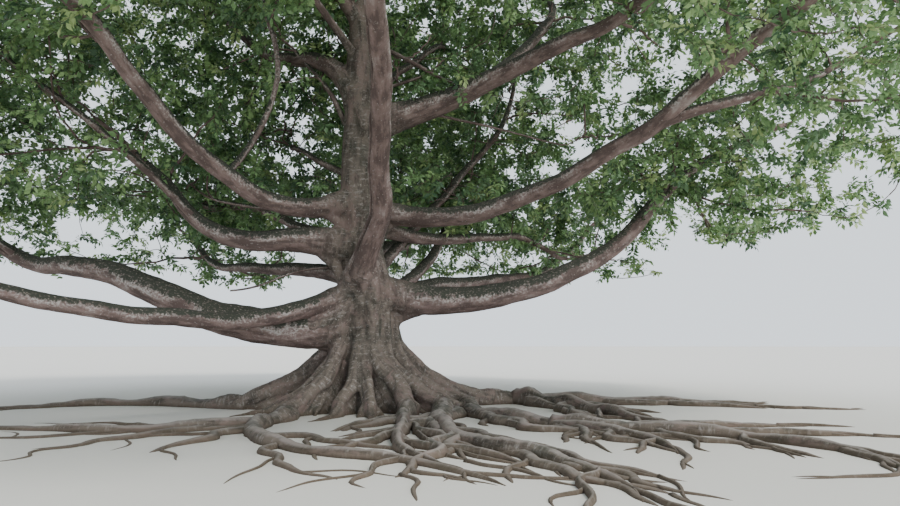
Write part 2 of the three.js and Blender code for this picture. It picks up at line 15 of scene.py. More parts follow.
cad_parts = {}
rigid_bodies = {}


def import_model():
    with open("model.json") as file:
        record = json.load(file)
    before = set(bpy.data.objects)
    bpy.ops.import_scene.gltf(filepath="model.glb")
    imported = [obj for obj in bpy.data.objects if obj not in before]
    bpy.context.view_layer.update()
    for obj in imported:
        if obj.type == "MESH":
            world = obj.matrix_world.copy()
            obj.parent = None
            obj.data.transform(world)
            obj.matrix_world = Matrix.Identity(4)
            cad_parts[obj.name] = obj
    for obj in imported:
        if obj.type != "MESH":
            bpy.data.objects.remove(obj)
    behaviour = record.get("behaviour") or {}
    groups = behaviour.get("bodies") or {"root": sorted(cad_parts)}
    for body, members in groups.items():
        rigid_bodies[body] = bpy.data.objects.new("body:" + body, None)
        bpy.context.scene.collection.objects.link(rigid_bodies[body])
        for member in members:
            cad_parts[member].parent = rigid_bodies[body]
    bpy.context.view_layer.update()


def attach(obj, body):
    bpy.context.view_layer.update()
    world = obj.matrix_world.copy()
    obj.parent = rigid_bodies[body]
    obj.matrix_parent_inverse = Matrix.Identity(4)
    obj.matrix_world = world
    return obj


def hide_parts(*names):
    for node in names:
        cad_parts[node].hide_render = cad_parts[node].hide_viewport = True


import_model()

bl_info = {
    "name": "Banyan Tree",
    "version": (1, 0, 0),
    "blender": (4, 5, 0),
    "location": "View3D > Sidebar > Banyan",
    "description": "Dresses a banyan's solids in bark, surface roots and leaves",
    "category": "Object",
}

UP = Vector((0, 0, 1))
GOLDEN_TURN = 137.5
SEED = 41
DRIFT_SHIFTS = (11.3, 27.8, 43.1)

# Corners of the ring from which each kind of limb is swept.
SIDES = {"core": 28, "flute": 14, "small toe": 10, "rib": 14, "bough stump": 16, "web": 12,
         "root": 20, "side root": 10, "root stump": 12, "grooved bough": 52}

# Trunk core: radius at each height, and a lean to the left between two heights.
TRUNK_TOP = 12.6
TRUNK_LEAN = 0.27
LEAN_HEIGHTS = (2.5, 5.0)
GIRTH_HEIGHTS = (0, 0.5, 1.1, 1.9, 2.7, 3.3, 4.2, 5.6, 7.2, 9.0, 10.8, TRUNK_TOP)
GIRTH_RADII = (0.72, 0.68, 0.66, 0.68, 0.67, 0.57, 0.45, 0.4, 0.35, 0.29, 0.2, 0.11)
BURIED = 0.2
CUT_SNAP = 0.0005
CORE_STEPS = 90
SOFTENING = (0.5, 4)

# Buttress flutes: heading is that of the toe and column that at which a flute leaves the trunk, reach
# the toe's distance from the trunk's middle, crest the height at the waist, spread how far the back takes
# to fall to a third, width what its thickness comes from, toe its height where it ends, top where its
# column fades and stand how far the column stands out of the trunk.
WAIST = 0.75
FLUTE_INSIDE = 0.25
FLUTE_STEPS = 24
BLADE_WIDTH = 0.55
BLADE_SUNK = 0.08
FLUTE_TURNS = (0.7, 1.5)
FLUTE_WINDING = 0.32
WINDING_STARTS = (0.6, 1.4)
COLUMN_TOP = 3.1
COLUMN_STEPS = 16
COLUMN_GIRTH = (0.7, 0.8)
COLUMN_STAND = (-0.4, 1)
COLUMN_OVERLAP = 0.2
COLUMN_WANDER = 5
BACK_GIRTH = (0.8, 0.5)
BACK_TOE = 0.75
BACK_SWELL = 0.14
BACK_SUNK = 0.85
Flute = namedtuple("Flute", "heading column reach crest spread width toe top stand", defaults=(0.17,))
FLUTES = [
    Flute(172, 180, 3.0, 1.35, 1.25, 0.3, 0.27, 2.5),
    Flute(203, 214, 2.3, 1.35, 0.85, 0.24, 0.12, 2.8),
    Flute(226, 225, 2.5, 1.5, 0.8, 0.22, 0.21, 3.4),
    Flute(252, 259, 2.05, 1.25, 0.7, 0.24, 0.12, 3.6),
    Flute(274, 268, 2.15, 1.4, 0.65, 0.2, 0.12, 3.4),
    Flute(298, 282, 2.2, 1.35, 0.75, 0.22, 0.28, 4.9, 0.3),
    Flute(322, 306, 2.5, 1.15, 0.8, 0.25, 0.28, 4.5),
    Flute(345, 342, 2.7, 1.15, 0.8, 0.26, 0.28, 3.2),
    Flute(18, 14, 3.2, 1.4, 1.1, 0.28, 0.3, 3.1),
    Flute(58, 60, 2.6, 1.4, 1.0, 0.28, 0.12, 3.3),
    Flute(95, 94, 2.8, 1.5, 1.1, 0.3, 0.24, 3.5),
    Flute(135, 138, 2.7, 1.4, 1.1, 0.3, 0.12, 3.2),
]

# A flute that no root carries on ends in a pointed toe of its own, turned to one side or the other.
TOE_TURNS = (-34, 38)
TOE_STEPS = 10
TOE_STEP = 0.12
TOE_TAPER = 0.9
TOE_SINK = 0.009

# Smaller toes fill the gaps between the flutes. They differ by turns: how far out each leaves its flute,
# its share of the way to the next flute and its share of the flutes' reach.
SMALL_TOE_STARTS = (1.0, 1.22)
SMALL_TOE_TURNS = (0.4, 0.6)
SMALL_TOE_REACHES = (0.9, 1.02)
SMALL_TOE_SUNK = 0.14
SMALL_TOE_END = 0.06
SMALL_TOE_GIRTH = (0.13, 0.05)
SMALL_TOE_WANDER = 0.07
SMALL_TOE_POINTS = 20

# Broad ribs run up the trunk from the flutes to the boughs: heading at the foot and at the top. Each
# lies sunk in the trunk by a share of its radius, deeper at its top.
RIB_STEPS = 22
RIB_SUNK = (0.66, 1.15)
RIB_WANDER = 5
Rib = namedtuple("Rib", "foot_heading top_heading foot top radius")
RIBS = [
    Rib(343, 345, 0.5, 2.7, 0.28),
    Rib(24, 28, 0.5, 2.6, 0.3),
    Rib(66, 72, 0.5, 3.1, 0.3),
    Rib(108, 112, 0.5, 2.8, 0.3),
    Rib(146, 146, 0.5, 2.9, 0.28),
    Rib(184, 188, 0.5, 2.3, 0.28),
]

# Surface roots creep from a flute's toe, or fork from another root at a share of its length: start is
# that flute's heading or that share, and heading holds at the root, each third and the tip.
ROOT_TIP = 0.3
ROOT_SWELL = 0.22
ROOT_STEP = 0.12
ROOT_DRIFT = 0.12
ROOT_RELIEF = 1.8
ROOT_BARK = 1.6
ROOT_SUNK = 0.9
ROOT_SINKS = (0.75, 1)
ROOT_STUMP = 1.4
ROOT_STUMP_STEPS = 14
Root = namedtuple("Root", "name start length width height heading parent", defaults=(None,))
ROOTS = [
    Root("left", 172, 6.8, 0.3, 0.29, (155, 150, 195, 225)),
    Root("left_front", 226, 7.3, 0.23, 0.23, (280, 205, 160, 170)),
    Root("front_left", 0.2, 7.6, 0.2, 0.22, (-100, -65, -35, -70), "left_front"),
    Root("front", 298, 6.9, 0.18, 0.33, (260, 265, 270, 300)),
    Root("front_right", 322, 9.2, 0.25, 0.33, (255, 270, 300, 260)),
    Root("right", 345, 7.4, 0.26, 0.31, (260, 300, 305, 245)),
    Root("right_long", 0.5, 6.9, 0.19, 0.24, (-30, -35, -75, -125), "right"),
    Root("right_side", 18, 7.6, 0.28, 0.34, (25, -15, -20, -40)),
    Root("right_arch", 0.15, 5.9, 0.24, 0.4, (-60, -70, -80, -70), "right_side"),
    Root("back", 95, 5.4, 0.25, 0.26, (85, 115, 120, 95)),
]

# Smaller roots part from the surface roots and smaller ones from those. They crowd at the tree's right:
# the first ranges run from the sparse side to the crowded one, with the spacing of a first and of a
# second parting. The next are ranges that a root is dealt from, and the last say how it sinks and
# narrows towards its end. None comes close to the trunk.
CROWD_SIDES = (-1, 3)
CROWD_SPACING = {2: (1.2, 0.72), 1: (1.8, 1.3)}
CROWD_TURN = (1, 0.72)
CROWD_GIRTH = (0.9, 1.2)
PARTING_TURN = (22, 50)
PARTING_BEND = (0.2, 1.3)
PARTING_SWING = 72
PARTING_WIDTH = (0.5, 0.8)
PARTING_HEIGHT = (0.42, 0.75)
PARTING_POINTS = 5
PARTING_SUNK = 0.55
PARTING_SINKS = (0.35, 1)
PARTING_TAPER = (1, 0.52)
PARTING_POINTED = (0.7, 1)
PARTING_POINT = (1, 0.35)
TRUNK_CLEARING = 2.2

# Boughs: start is a height on the trunk, or a share of the parent's length; girth is the radius
# at root and tip; heading and climb hold at the root, each third and the tip. A collar swells each
# at its root and fades over some root radii, and a stump of some root radii is fused with the trunk.
COLLAR = 0.6
COLLAR_LENGTH = 3.5
STUMP_LENGTH = 4.5
STUMP_SWELL = (1.05, 0.9)
BOUGH_DRIFT = 0.09
BOUGH_DRIFTS = (1.5, 4)
PATH_STEP = 0.2
FINE_STEP = 0.1
FEWEST_SIDES = 10
MOST_SIDES = 26
SIDES_PER_METRE = 90
KNOT_LEVEL = 0.25
KNOT_SWELL = 0.25
Bough = namedtuple("Bough", "name start length girth heading climb parent", defaults=(None,))
BOUGHS = [
    Bough("low_right", 2.8, 11.5, (0.34, 0.11), (-15, 0, 20, 15), (-15, 15, 45, 25)),
    Bough("low_left_back", 2.2, 12.1, (0.43, 0.12), (200, 175, 145, 155), (-20, 25, 5, 40)),
    Bough("low_left_front", 2.9, 12.6, (0.23, 0.085), (210, 225, 210, 220), (-25, 0, 15, 25)),
    Bough("mid_left", 3.8, 6.6, (0.31, 0.09), (210, 185, 155, 150), (10, -5, 45, 40)),
    Bough("high_left", 5.1, 10.0, (0.23, 0.11), (210, 225, 250, 230), (-30, 25, 30, 30)),
    Bough("front", 2.4, 11.9, (0.27, 0.13), (270, 275, 265, 290), (55, 35, 10, 40)),
    Bough("right_upper", 6.9, 8.9, (0.33, 0.095), (5, -35, -45, -60), (15, 15, 10, 25)),
    Bough("right_upper_back", 0.35, 6.5, (0.18, 0.08), (30, 35, 60, 105), (35, 45, 45, 30),
          "right_upper"),
    Bough("right_mid", 4.9, 12.0, (0.25, 0.11), (345, 325, 295, 280), (-20, 15, 20, 10)),
    Bough("right_mid_fork", 0.6, 5.0, (0.12, 0.07), (-75, -5, 25, 25), (10, 15, 20, 25),
          "right_mid"),
    Bough("right_behind", 4.5, 7.6, (0.19, 0.07), (25, 40, 35, 35), (-15, 5, 10, -25)),
    Bough("far_right", 2.4, 12.0, (0.24, 0.09), (45, 50, 45, 30), (20, 5, 10, 45)),
    Bough("back_right_low", 2.5, 7.1, (0.18, 0.08), (35, 60, 70, 70), (20, 30, 35, 30)),
    Bough("back_right", 2.9, 10.9, (0.15, 0.065), (55, 45, 40, 70), (40, 40, 45, 65)),
    Bough("back", 3.3, 9.9, (0.22, 0.09), (80, 75, 80, 80), (25, 10, 10, 25)),
    Bough("back_left_low", 3.0, 10.2, (0.22, 0.09), (125, 130, 125, 120), (15, 5, 5, 30)),
    Bough("back_left", 4.2, 8.2, (0.15, 0.07), (145, 130, 130, 135), (0, 25, 5, 20)),
    Bough("high_back_left", 7.5, 6.9, (0.24, 0.08), (160, 140, 140, 150), (70, 10, 40, 40)),
    Bough("high_back_right", 6.9, 7.6, (0.12, 0.06), (50, 50, 60, 95), (60, 40, 30, 15)),
    Bough("high_left_riser", 0.35, 6.1, (0.075, 0.05), (70, 35, 0, -30), (40, 70, 105, 115),
          "high_left"),
    Bough("front_riser", 0.7, 4.7, (0.13, 0.065), (-15, -15, -5, 10), (70, 70, 70, 75), "front"),
    Bough("top_left", 9.6, 5.3, (0.15, 0.065), (215, 215, 220, 220), (40, 40, 45, 45)),
    Bough("top_right", 9.9, 5.0, (0.14, 0.065), (340, 340, 340, 345), (40, 45, 40, 45)),
    Bough("top_back", 9.2, 5.8, (0.14, 0.065), (95, 100, 110, 115), (45, 40, 35, 35)),
]

# Webs of wood under the heavy boughs low on the trunk.
WEB_GIRTH = 0.22
WEB_TOP = 5.2
WEB_DROP = 1.05
WEB_REACH = 0.55
WEB_THICKNESS = (0.35, 0.52)
WEB_STEPS = 14
WEB_SUNK = 0.04

# The bough that leans out over the front sways sideways and has a groove along its left.
SWAYING_BOUGH = "front"
SWAY_RUNS = (0, 0.8, 2.6, 6)
SWAY = (-0.12, -0.2, 0.22, 0)
GROOVE_ANGLE = math.radians(36)
GROOVE_WIDTH = math.radians(5.5)
GROOVE_DEPTH = 1.3
GROOVE_WAVER = 0.2

# Trunk bark gives way to bough bark over these runs along a bough and between these distances off it,
# in radii, and the bark of the roots to the upright bark of the trunk between these heights.
BARK_CHANGE = (0.45, 1.6)
BARK_REACH = (1.1, 2.2)
UPRIGHT_BARK = (1.6, 3.4)
BARK_TWIST = 0.3
MOST_GUIDES = 20000

# Small limbs inside the crown, each but one with a little mass of leaves of its own.
SMALL_LIMBS = [
    Bough("small_left", 5.6, 5.2, (0.09, 0.045), (150, 125, 105, 100), (20, 30, 15, 35)),
    Bough("small_left_high", 6.4, 3.4, (0.08, 0.04), (175, 160, 140, 150), (60, 65, 45, 50)),
    Bough("small_left_low", 4.5, 4.2, (0.07, 0.035), (165, 150, 170, 150), (25, 5, 5, 20)),
    Bough("small_left_bare", 3.4, 3.2, (0.045, 0.02), (200, 185, 170, 190), (-5, -5, -25, -5)),
    Bough("small_right_high", 9.0, 2.9, (0.07, 0.035), (15, 0, -5, 10), (10, -25, -30, -10)),
    Bough("small_right", 7.6, 3.0, (0.06, 0.03), (25, 30, 40, 45), (35, 25, 30, 40)),
    Bough("small_right_twig", 0.18, 3.8, (0.045, 0.02), (20, 0, -5, 5), (-5, -10, -15, -10),
          "right_upper"),
    Bough("small_left_fork", 0.72, 3.0, (0.1, 0.05), (200, 190, 170, 165), (50, 70, 75, 70), "high_left"),
    Bough("small_left_outer", 0.78, 3.4, (0.09, 0.045), (215, 200, 190, 195), (35, 35, 30, 25),
          "low_left_back"),
    Bough("small_left_dome", 0.6, 7.0, (0.1, 0.05), (200, 180, 170, 175), (45, 40, 35, 40), "mid_left"),
    Bough("small_front_left", 8.6, 5.4, (0.1, 0.05), (230, 240, 245, 240), (30, 20, 25, 25)),
    Bough("small_back_high", 0.6, 5.6, (0.1, 0.05), (100, 90, 80, 90), (45, 60, 60, 55), "back"),
]

# Crown outline: a dome above its widest level and a shallower bowl below it, both of which billow, as
# the masses do.
CROWN_RADIUS = 14.8
CROWN_LEVEL = 6.5
CROWN_RISE = 11.5
CROWN_DROP = 4.6
CROWN_FILL = 0.93
CROWN_BILLOW = 0.08
MASS_FILL = 0.97
MASS_BILLOW = 0.06

# Masses of foliage, one at the tip of each bough and of the trunk: shift, heading and climb lead from
# the tip to the mass's middle, reach is its greatest radius and floor its lowest level.
Mass = namedtuple("Mass", "bough shift heading climb reach floor")
MASSES = [
    Mass("low_right", 2.1, 5, 25, 4.7, 4.2),
    Mass("low_left_back", 2.0, 165, 40, 4.7, 3.4),
    Mass("low_left_front", 1.9, 215, 45, 4.7, 2.9),
    Mass("mid_left", 1.5, 165, 40, 3.2, 4.6),
    Mass("high_left", 2.1, 230, 30, 4.7, 6.4),
    Mass("front", 2.1, 272, 15, 4.7, 6.0),
    Mass("right_upper", 2.0, 330, 45, 4.2, 7.6),
    Mass("right_upper_back", 1.8, 15, 35, 4.3, 9.5),
    Mass("right_mid", 2.1, 308, 25, 4.7, 5.4),
    Mass("right_mid_fork", 2.0, 338, 30, 4.5, 5.4),
    Mass("right_behind", 1.3, 30, 5, 2.6, 3.5),
    Mass("far_right", 2.1, 40, 30, 4.7, 3.8),
    Mass("back_right_low", 1.4, 65, 45, 3.2, 5.2),
    Mass("back_right", 1.8, 45, 35, 4.3, 8.2),
    Mass("back", 2.0, 82, 30, 4.7, 4.0),
    Mass("back_left_low", 2.0, 125, 25, 4.7, 3.4),
    Mass("back_left", 2.0, 140, 55, 4.0, 5.6),
    Mass("high_back_left", 1.8, 150, 35, 4.3, 8.8),
    Mass("high_back_right", 1.7, 90, 35, 3.9, 8.4),
    Mass("high_left_riser", 1.2, 190, 25, 3.0, 9.4),
    Mass("front_riser", 1.7, 290, 45, 4.3, 9.4),
    Mass("top_left", 1.6, 215, 35, 4.2, 11.2),
    Mass("top_right", 1.6, 345, 35, 4.2, 11.2),
    Mass("top_back", 1.6, 105, 35, 4.2, 11.0),
    Mass("trunk", 2.2, 0, 90, 3.6, 12.6),
]

SMALL_MASSES = [
    Mass("small_left", 0.8, 90, 30, 2.9, 5.6),
    Mass("small_left_high", 0.7, 150, 40, 2.3, 7.0),
    Mass("small_left_low", 0.6, 150, 30, 1.5, 4.8),
    Mass("small_right_high", 0.6, 20, 40, 1.6, 7.5),
    Mass("small_right", 0.6, 45, 40, 2.1, 7.2),
    Mass("small_right_twig", 0.4, 0, 20, 1.2, 5.5),
    Mass("small_left_fork", 0.6, 165, 50, 1.7, 7.0),
    Mass("small_left_outer", 0.8, 200, 30, 3.2, 3.7),
    Mass("small_left_dome", 0.9, 175, 40, 3.6, 6.6),
    Mass("small_front_left", 0.7, 240, 20, 3.6, 7.7),
    Mass("small_back_high", 0.9, 90, 40, 3.6, 7.2),
]

# How a mass grows: spots dealt through its ball, and how far its clumps and its leaves keep inside the
# crown's outline and off their neighbours.
POOL = 9000
CLUMP_MARGINS = (0.3, 0.25)
LEAF_MARGINS = (0.2, 0.1)
LIMB_SPACING = 0.5
LIMB_REACH = 0.85
LIMB_SHARE = (0.6, 0.8)
LIMB_LEAST = 0.03
LIMB_TIP = 0.02
STEM_PULL = 0.4
STEM_TAPER = (0.97, 0.55)
TWIG_MOST = 0.03
TWIG_LEAST = 0.016
TWIG_TIP = 0.011
STALK_RADIUS = 0.007
SHORTEST_STALK = 0.12
MOST_KNOTS = 40000

# Limbs and twigs: the points along each, how far it keeps on in its parent's direction, how much a knot
# that points away counts as further, and how far its points stray.
Growth = namedtuple("Growth", "points pull behind stray")
LIMB = Growth(9, 0.35, 0.5, 0.035)
TWIG = Growth(6, 0.3, 0.4, 0.025)

# Sprays of leaves: how far a leaf turns from the stalk and dips, in degrees, how far it rolls, its
# length and width as shares, where it is widest and how deep it folds.
LEAVES = 16
SPRAY_KINDS = 16
SPRAY_LENGTH = 0.55
SPRAY_LEAFY = 0.5
SPRAY_SAG = 0.06
SPRAY_DROOP = 0.12
SPRAY_ROLL = 0.22
SPRAY_SCALES = (0.85, 1.15)
LEAF_TURN = (38, 78)
LEAF_DIP = (-15, 62)
LEAF_LENGTHS = (0.75, 1.15)
LEAF_WIDTHS = (0.8, 1.15)
LEAF_ROLL = 0.85
LEAF_STALK = 0.02
LEAF_BELLY = (0.4, 0.5)
LEAF_FOLD = 0.35

# Shade of a spray, as a place in the row of greens: that at the crown's middle, how much lighter it is at
# the outside, and how far it scatters. The darker greens inside are painted shade and the lighter ones
# outside are painted light; the scatter is the leaves' own tone. The middle is at this level.
SHADE_LEVEL = 4.5
PAINTED_SHADE_INSIDE = 1.5
PAINTED_LIGHT_GAIN = 1.05
SHADE_SCATTER = 1.05

# The mass over the eye has smaller leaves, and more sprays to a clump.
FINE_MASS = "right_mid"
FINE_SCALE = 0.75
FINE_SPRAYS = 1.7

# Boughs behind the trunk also carry leaves along their inner stretch.
INNER_STRETCH = (0.25, 0.85)
INNER_SPOTS = 40
INNER_REACH = 1.7
INNER_FLOOR = 5.2
INNER_CLEARING = 1
INNER_CLUMPS = 2.2

# Boughs that show through the crown from the front, each between two shares of its length.
SHOWN = {"back_right": (0.2, 0.93), "right_upper_back": (0.2, 0.85), "high_back_right": (0.15, 0.75)}
SHOWN_ROOM = 0.3
SPRAY_MIDDLE = 0.45

# A direction that hardly any twig follows, from which their rings are turned.
ASIDE = (0.12, 0.23, 0.96)

# Camera: its place, how far it looks up and how far to the right.
EYE = Vector((0, -17, 1.5))
EYE_PITCH = 7.49
EYE_YAW = 6.84
LENS = 28
FLOOR_RADIUS = 900

# The stage's floor, sky and suns: energy, softness in degrees, tint and the way towards each.
FLOOR_COLOUR = (0.62, 0.61, 0.58, 1)
SKY_COLOUR = (0.86, 0.93, 1.0, 1)
SKY_STRENGTH = 1.5
Sun = namedtuple("Sun", "name energy softness tint place")
SUNS = [
    Sun("key light", 2.9, 14, (1.0, 0.96, 0.88), (0.4, -0.62, 0.72)),
    Sun("fill light", 1.5, 60, (1.0, 0.98, 0.95), (0.6, -0.78, 0.16)),
]


class BanyanSizes(bpy.types.PropertyGroup):
    """Sizes that shape the bark, roots and leaves"""

    trunk_detail: bpy.props.FloatProperty(
        name="Trunk Detail", description="Size of the trunk's smallest faces",
        default=0.042, min=0.02, max=0.2, unit="LENGTH")
    ring_step: bpy.props.FloatProperty(
        name="Ring Step", description="Distance between the rings of a bough",
        default=0.075, min=0.03, max=0.5, unit="LENGTH")
    relief: bpy.props.FloatProperty(
        name="Relief", description="Depth of the lumps and furrows in the bark",
        default=0.03, min=0, max=0.1, unit="LENGTH")
    leaf_length: bpy.props.FloatProperty(
        name="Leaf Length", description="Length of one leaf",
        default=0.175, min=0.05, max=0.6, unit="LENGTH")
    leaf_width: bpy.props.FloatProperty(
        name="Leaf Width", description="Width of one leaf",
        default=0.09, min=0.02, max=0.4, unit="LENGTH")
    clump_room: bpy.props.FloatProperty(
        name="Clump Room", description="Room that one clump of sprays fills, in cubic metres",
        default=2.6, min=0.5, max=20)
    clump_reach: bpy.props.FloatProperty(
        name="Clump Reach", description="Distance from a clump's middle to its outermost sprays",
        default=1.1, min=0.2, max=3, unit="LENGTH")
    clump_sprays: bpy.props.IntProperty(
        name="Sprays", description="Number of leafy sprays in one clump", default=16, min=1, max=60)


class BanyanColours(bpy.types.PropertyGroup):
    """Colours of the bark and leaves"""

    bark_dark: bpy.props.FloatVectorProperty(
        name="Dark Bark", description="Trunk bark in its furrows",
        default=(0.052, 0.045, 0.038), subtype="COLOR", min=0, max=1)
    # Painted shade: a near black laid along the front bough's groove, where shade falls.
    bark_groove: bpy.props.FloatVectorProperty(
        name="Groove", description="Groove along the front bough",
        default=(0.02, 0.016, 0.013), subtype="COLOR", min=0, max=1)
    bark: bpy.props.FloatVectorProperty(
        name="Bark", description="Trunk bark between its furrows",
        default=(0.155, 0.13, 0.11), subtype="COLOR", min=0, max=1)
    bark_rosy: bpy.props.FloatVectorProperty(
        name="Rosy Bark", description="Smooth bark under the boughs and in patches on the trunk",
        default=(0.232, 0.166, 0.152), subtype="COLOR", min=0, max=1)
    bark_shade: bpy.props.FloatVectorProperty(
        name="Shaded Bark", description="Darker streaks under the boughs",
        default=(0.114, 0.082, 0.075), subtype="COLOR", min=0, max=1)
    bark_pale: bpy.props.FloatVectorProperty(
        name="Pale Bark", description="White ragged streaks, worn patches and flecks",
        default=(0.48, 0.45, 0.43), subtype="COLOR", min=0, max=1)
    moss: bpy.props.FloatVectorProperty(
        name="Moss", description="Film of moss on the upper sides",
        default=(0.052, 0.057, 0.046), subtype="COLOR", min=0, max=1)
    # Darker bark close to the ground.
    bark_near_ground: bpy.props.FloatVectorProperty(
        name="Root Foot", description="Root bark close to the ground",
        default=(0.09, 0.068, 0.048), subtype="COLOR", min=0, max=1)
    # Painted shade: the darkest green, dealt to sprays deep inside the crown where shade falls.
    leaf_deep_painted_shade: bpy.props.FloatVectorProperty(
        name="Deep Leaf", description="Oldest leaves, inside the crown",
        default=(0.068, 0.14, 0.07), subtype="COLOR", min=0, max=1)
    leaf_dark: bpy.props.FloatVectorProperty(
        name="Dark Leaf", description="Leaves in full shade",
        default=(0.112, 0.212, 0.094), subtype="COLOR", min=0, max=1)
    leaf: bpy.props.FloatVectorProperty(
        name="Leaf", description="Most of the leaves",
        default=(0.178, 0.31, 0.125), subtype="COLOR", min=0, max=1)
    # Painted light: a lighter green, dealt to sprays near the crown's outside where light falls.
    leaf_painted_light: bpy.props.FloatVectorProperty(
        name="Light Leaf", description="Leaves near the crown's outside",
        default=(0.255, 0.4, 0.16), subtype="COLOR", min=0, max=1)
    # The fresh green of young leaves, which is also painted light: it goes most to sprays at the crown's
    # outside.
    leaf_young_painted_light: bpy.props.FloatVectorProperty(
        name="Young Leaf", description="Fresh leaves at the tips",
        default=(0.36, 0.48, 0.2), subtype="COLOR", min=0, max=1)


def smooth_share(value, low, high):
    """Share from 0 to 1 of the way between two values, easing in and out."""
    x = min(max((value - low) / (high - low), 0), 1)
    return x * x * (3 - 2 * x)


def mixed(a, b, share):
    return a + (b - a) * share


def direction(heading, climb=0):
    level = math.cos(math.radians(climb))
    return Vector((level * math.cos(math.radians(heading)), level * math.sin(math.radians(heading)),
                   math.sin(math.radians(climb))))


def between(values, share):
    """Value at a share of a list of evenly spaced values."""
    x = min(max(share, 0), 1) * (len(values) - 1)
    k = min(int(x), len(values) - 2)
    return mixed(values[k], values[k + 1], x - k)


def ripple(a, b, c):
    """Smooth noise at a point, from about -1 to 1."""
    return noise.noise(Vector((a, b, c)))


def wander(place, size, scale):
    """A smooth drift that depends on the place alone, the same each time it is made."""
    return Vector([noise.noise(place * scale + UP * shift) for shift in DRIFT_SHIFTS]) * size


def trunk_place(height):
    return Vector((-TRUNK_LEAN * smooth_share(height, *LEAN_HEIGHTS), 0, height))


def trunk_radius(height):
    return float(np.interp(height, GIRTH_HEIGHTS, GIRTH_RADII))


def flute_height(flute, distance):
    """Height of a flute's back, which falls away from the trunk and ends at its toe."""
    fall = math.exp(-(distance - WAIST) / flute.spread)
    return flute.toe + flute.crest * fall * (1 - min(distance / flute.reach, 1) ** 5)


def flute_spot(flute, distance):
    """Level place on a flute, which leaves the trunk at its column and winds out to its toe."""
    heading = mixed(flute.column, flute.heading, smooth_share(distance, *FLUTE_TURNS))
    winding = FLUTE_WINDING * ripple(flute.heading, distance * 1.1, 0)
    winding *= smooth_share(distance, *WINDING_STARTS)
    winding *= 1 - smooth_share(distance, 0.75 * flute.reach, flute.reach)
    return direction(heading) * distance + direction(heading + 90) * winding


def frames_along(places):
    """A turned frame at each place, with Z along the path and no twist from one to the next."""
    frames, side, last = [], None, len(places) - 1
    for k, place in enumerate(places):
        along = (places[min(k + 1, last)] - places[max(k - 1, 0)]).normalized()
        if side is None:
            side = along.cross(UP if abs(along.z) < 0.9 else Vector((1, 0, 0)))
        side = (side - along * side.dot(along)).normalized()
        turn = Matrix((side, along.cross(side), along)).transposed().to_4x4()
        frames.append(Matrix.Translation(place) @ turn)
    return frames


def run_along(places):
    """Distance along a path at each of its places."""
    runs = [0.0]
    for before, after in zip(places, places[1:]):
        runs.append(runs[-1] + (after - before).length)
    return runs


def round_stations(places, radii, runs=None):
    """Stations of a round limb as (frame, width, height, run), with its own runs if none are given."""
    runs = run_along(places) if runs is None else runs
    return [(turn, radius, radius, run) for turn, radius, run in zip(frames_along(places), radii, runs)]


def part_way(path, share):
    return path[round(share * (len(path) - 1))]


def walk(start, length, step, heading, climb=(0, 0)):
    """Middle line of a limb, whose heading and climb change smoothly from root to tip."""
    count = math.ceil(length / step)
    path = [start.copy()]
    for k in range(count):
        share = (k + 0.5) / count
        path.append(path[-1] + direction(between(heading, share), between(climb, share)) * (length / count))
    return path


def bough_named(name):
    return next(bough for bough in BOUGHS + SMALL_LIMBS if bough.name == name)


def bough_path(bough, step=PATH_STEP):
    if bough.parent is None:
        start = trunk_place(bough.start)
    else:
        start = part_way(bough_path(bough_named(bough.parent)), bough.start)
    return walk(start, bough.length, step, bough.heading, bough.climb)


def bough_line(bough, step):
    """Middle line of a bough as it is seen, with a natural drift off its plain path, and its runs."""
    path = bough_path(bough, step)
    runs = run_along(path)
    shift = Vector()
    if bough.parent:
        parent, _ = bough_line(bough_named(bough.parent), PATH_STEP)
        shift = part_way(parent, bough.start) - path[0]
    for place, run in zip(path, runs):
        free = smooth_share(run, *BOUGH_DRIFTS)
        free *= 1 - smooth_share(run, bough.length - BOUGH_DRIFTS[0], bough.length)
        rooted = 1 - smooth_share(run, 0, 0.6 * bough.length)
        place += wander(place, BOUGH_DRIFT * free, 0.8) + shift * rooted
        if bough.name == SWAYING_BOUGH:
            place.x += float(np.interp(run, SWAY_RUNS, SWAY))
    return path, runs


def bough_radius(bough, share):
    """A bough tapers evenly from the collar round its root; a forked one starts inside its parent."""
    collar = COLLAR * math.exp(-share * bough.length / (COLLAR_LENGTH * bough.girth[0]))
    if bough.parent is None:
        return mixed(*bough.girth, share) * (1 + collar)
    hidden = mixed(0.65, 1, smooth_share(share * bough.length, 0, 3 * bough.girth[0]))
    return mixed(*bough.girth, share) * (1 + collar / 2) * hidden


def root_path(root):
    if root.parent is None:
        flute = next(flute for flute in FLUTES if flute.heading == root.start)
        start = direction(flute.heading) * (flute.reach - root.width)
    else:
        start = part_way(root_path(next(other for other in ROOTS if other.name == root.parent)), root.start)
    return walk(start, root.length, ROOT_STEP, root.heading)


def sweep(bm, stations, sides):
    """Extrudes a ring through stations of (frame, width, height, run), then closes both ends."""
    grain = bm.verts.layers.float_vector.get("bark_place") or bm.verts.layers.float_vector.new("bark_place")
    shape = edges = None
    for place, wide, high, run in stations:
        before, shape = shape, place @ Matrix.Diagonal((wide, high, 1, 1))
        if edges is None:
            ring = bmesh.ops.create_circle(bm, segments=sides, radius=1, matrix=shape)["verts"]
            edges = first = list(dict.fromkeys(edge for vert in ring for edge in vert.link_edges))
        else:
            grown = bmesh.ops.extrude_edge_only(bm, edges=edges)["geom"]
            ring = [part for part in grown if isinstance(part, bmesh.types.BMVert)]
            kept = set(ring)
            edges = [part for part in grown if isinstance(part, bmesh.types.BMEdge)
                     and part.verts[0] in kept and part.verts[1] in kept]
            bmesh.ops.transform(bm, matrix=shape @ before.inverted(), verts=ring)
        inward = place.inverted()
        for vert in ring:
            local = inward @ vert.co
            vert[grain] = (local.x, local.y, run)
    bmesh.ops.holes_fill(bm, edges=[*first, *edges], sides=sides)


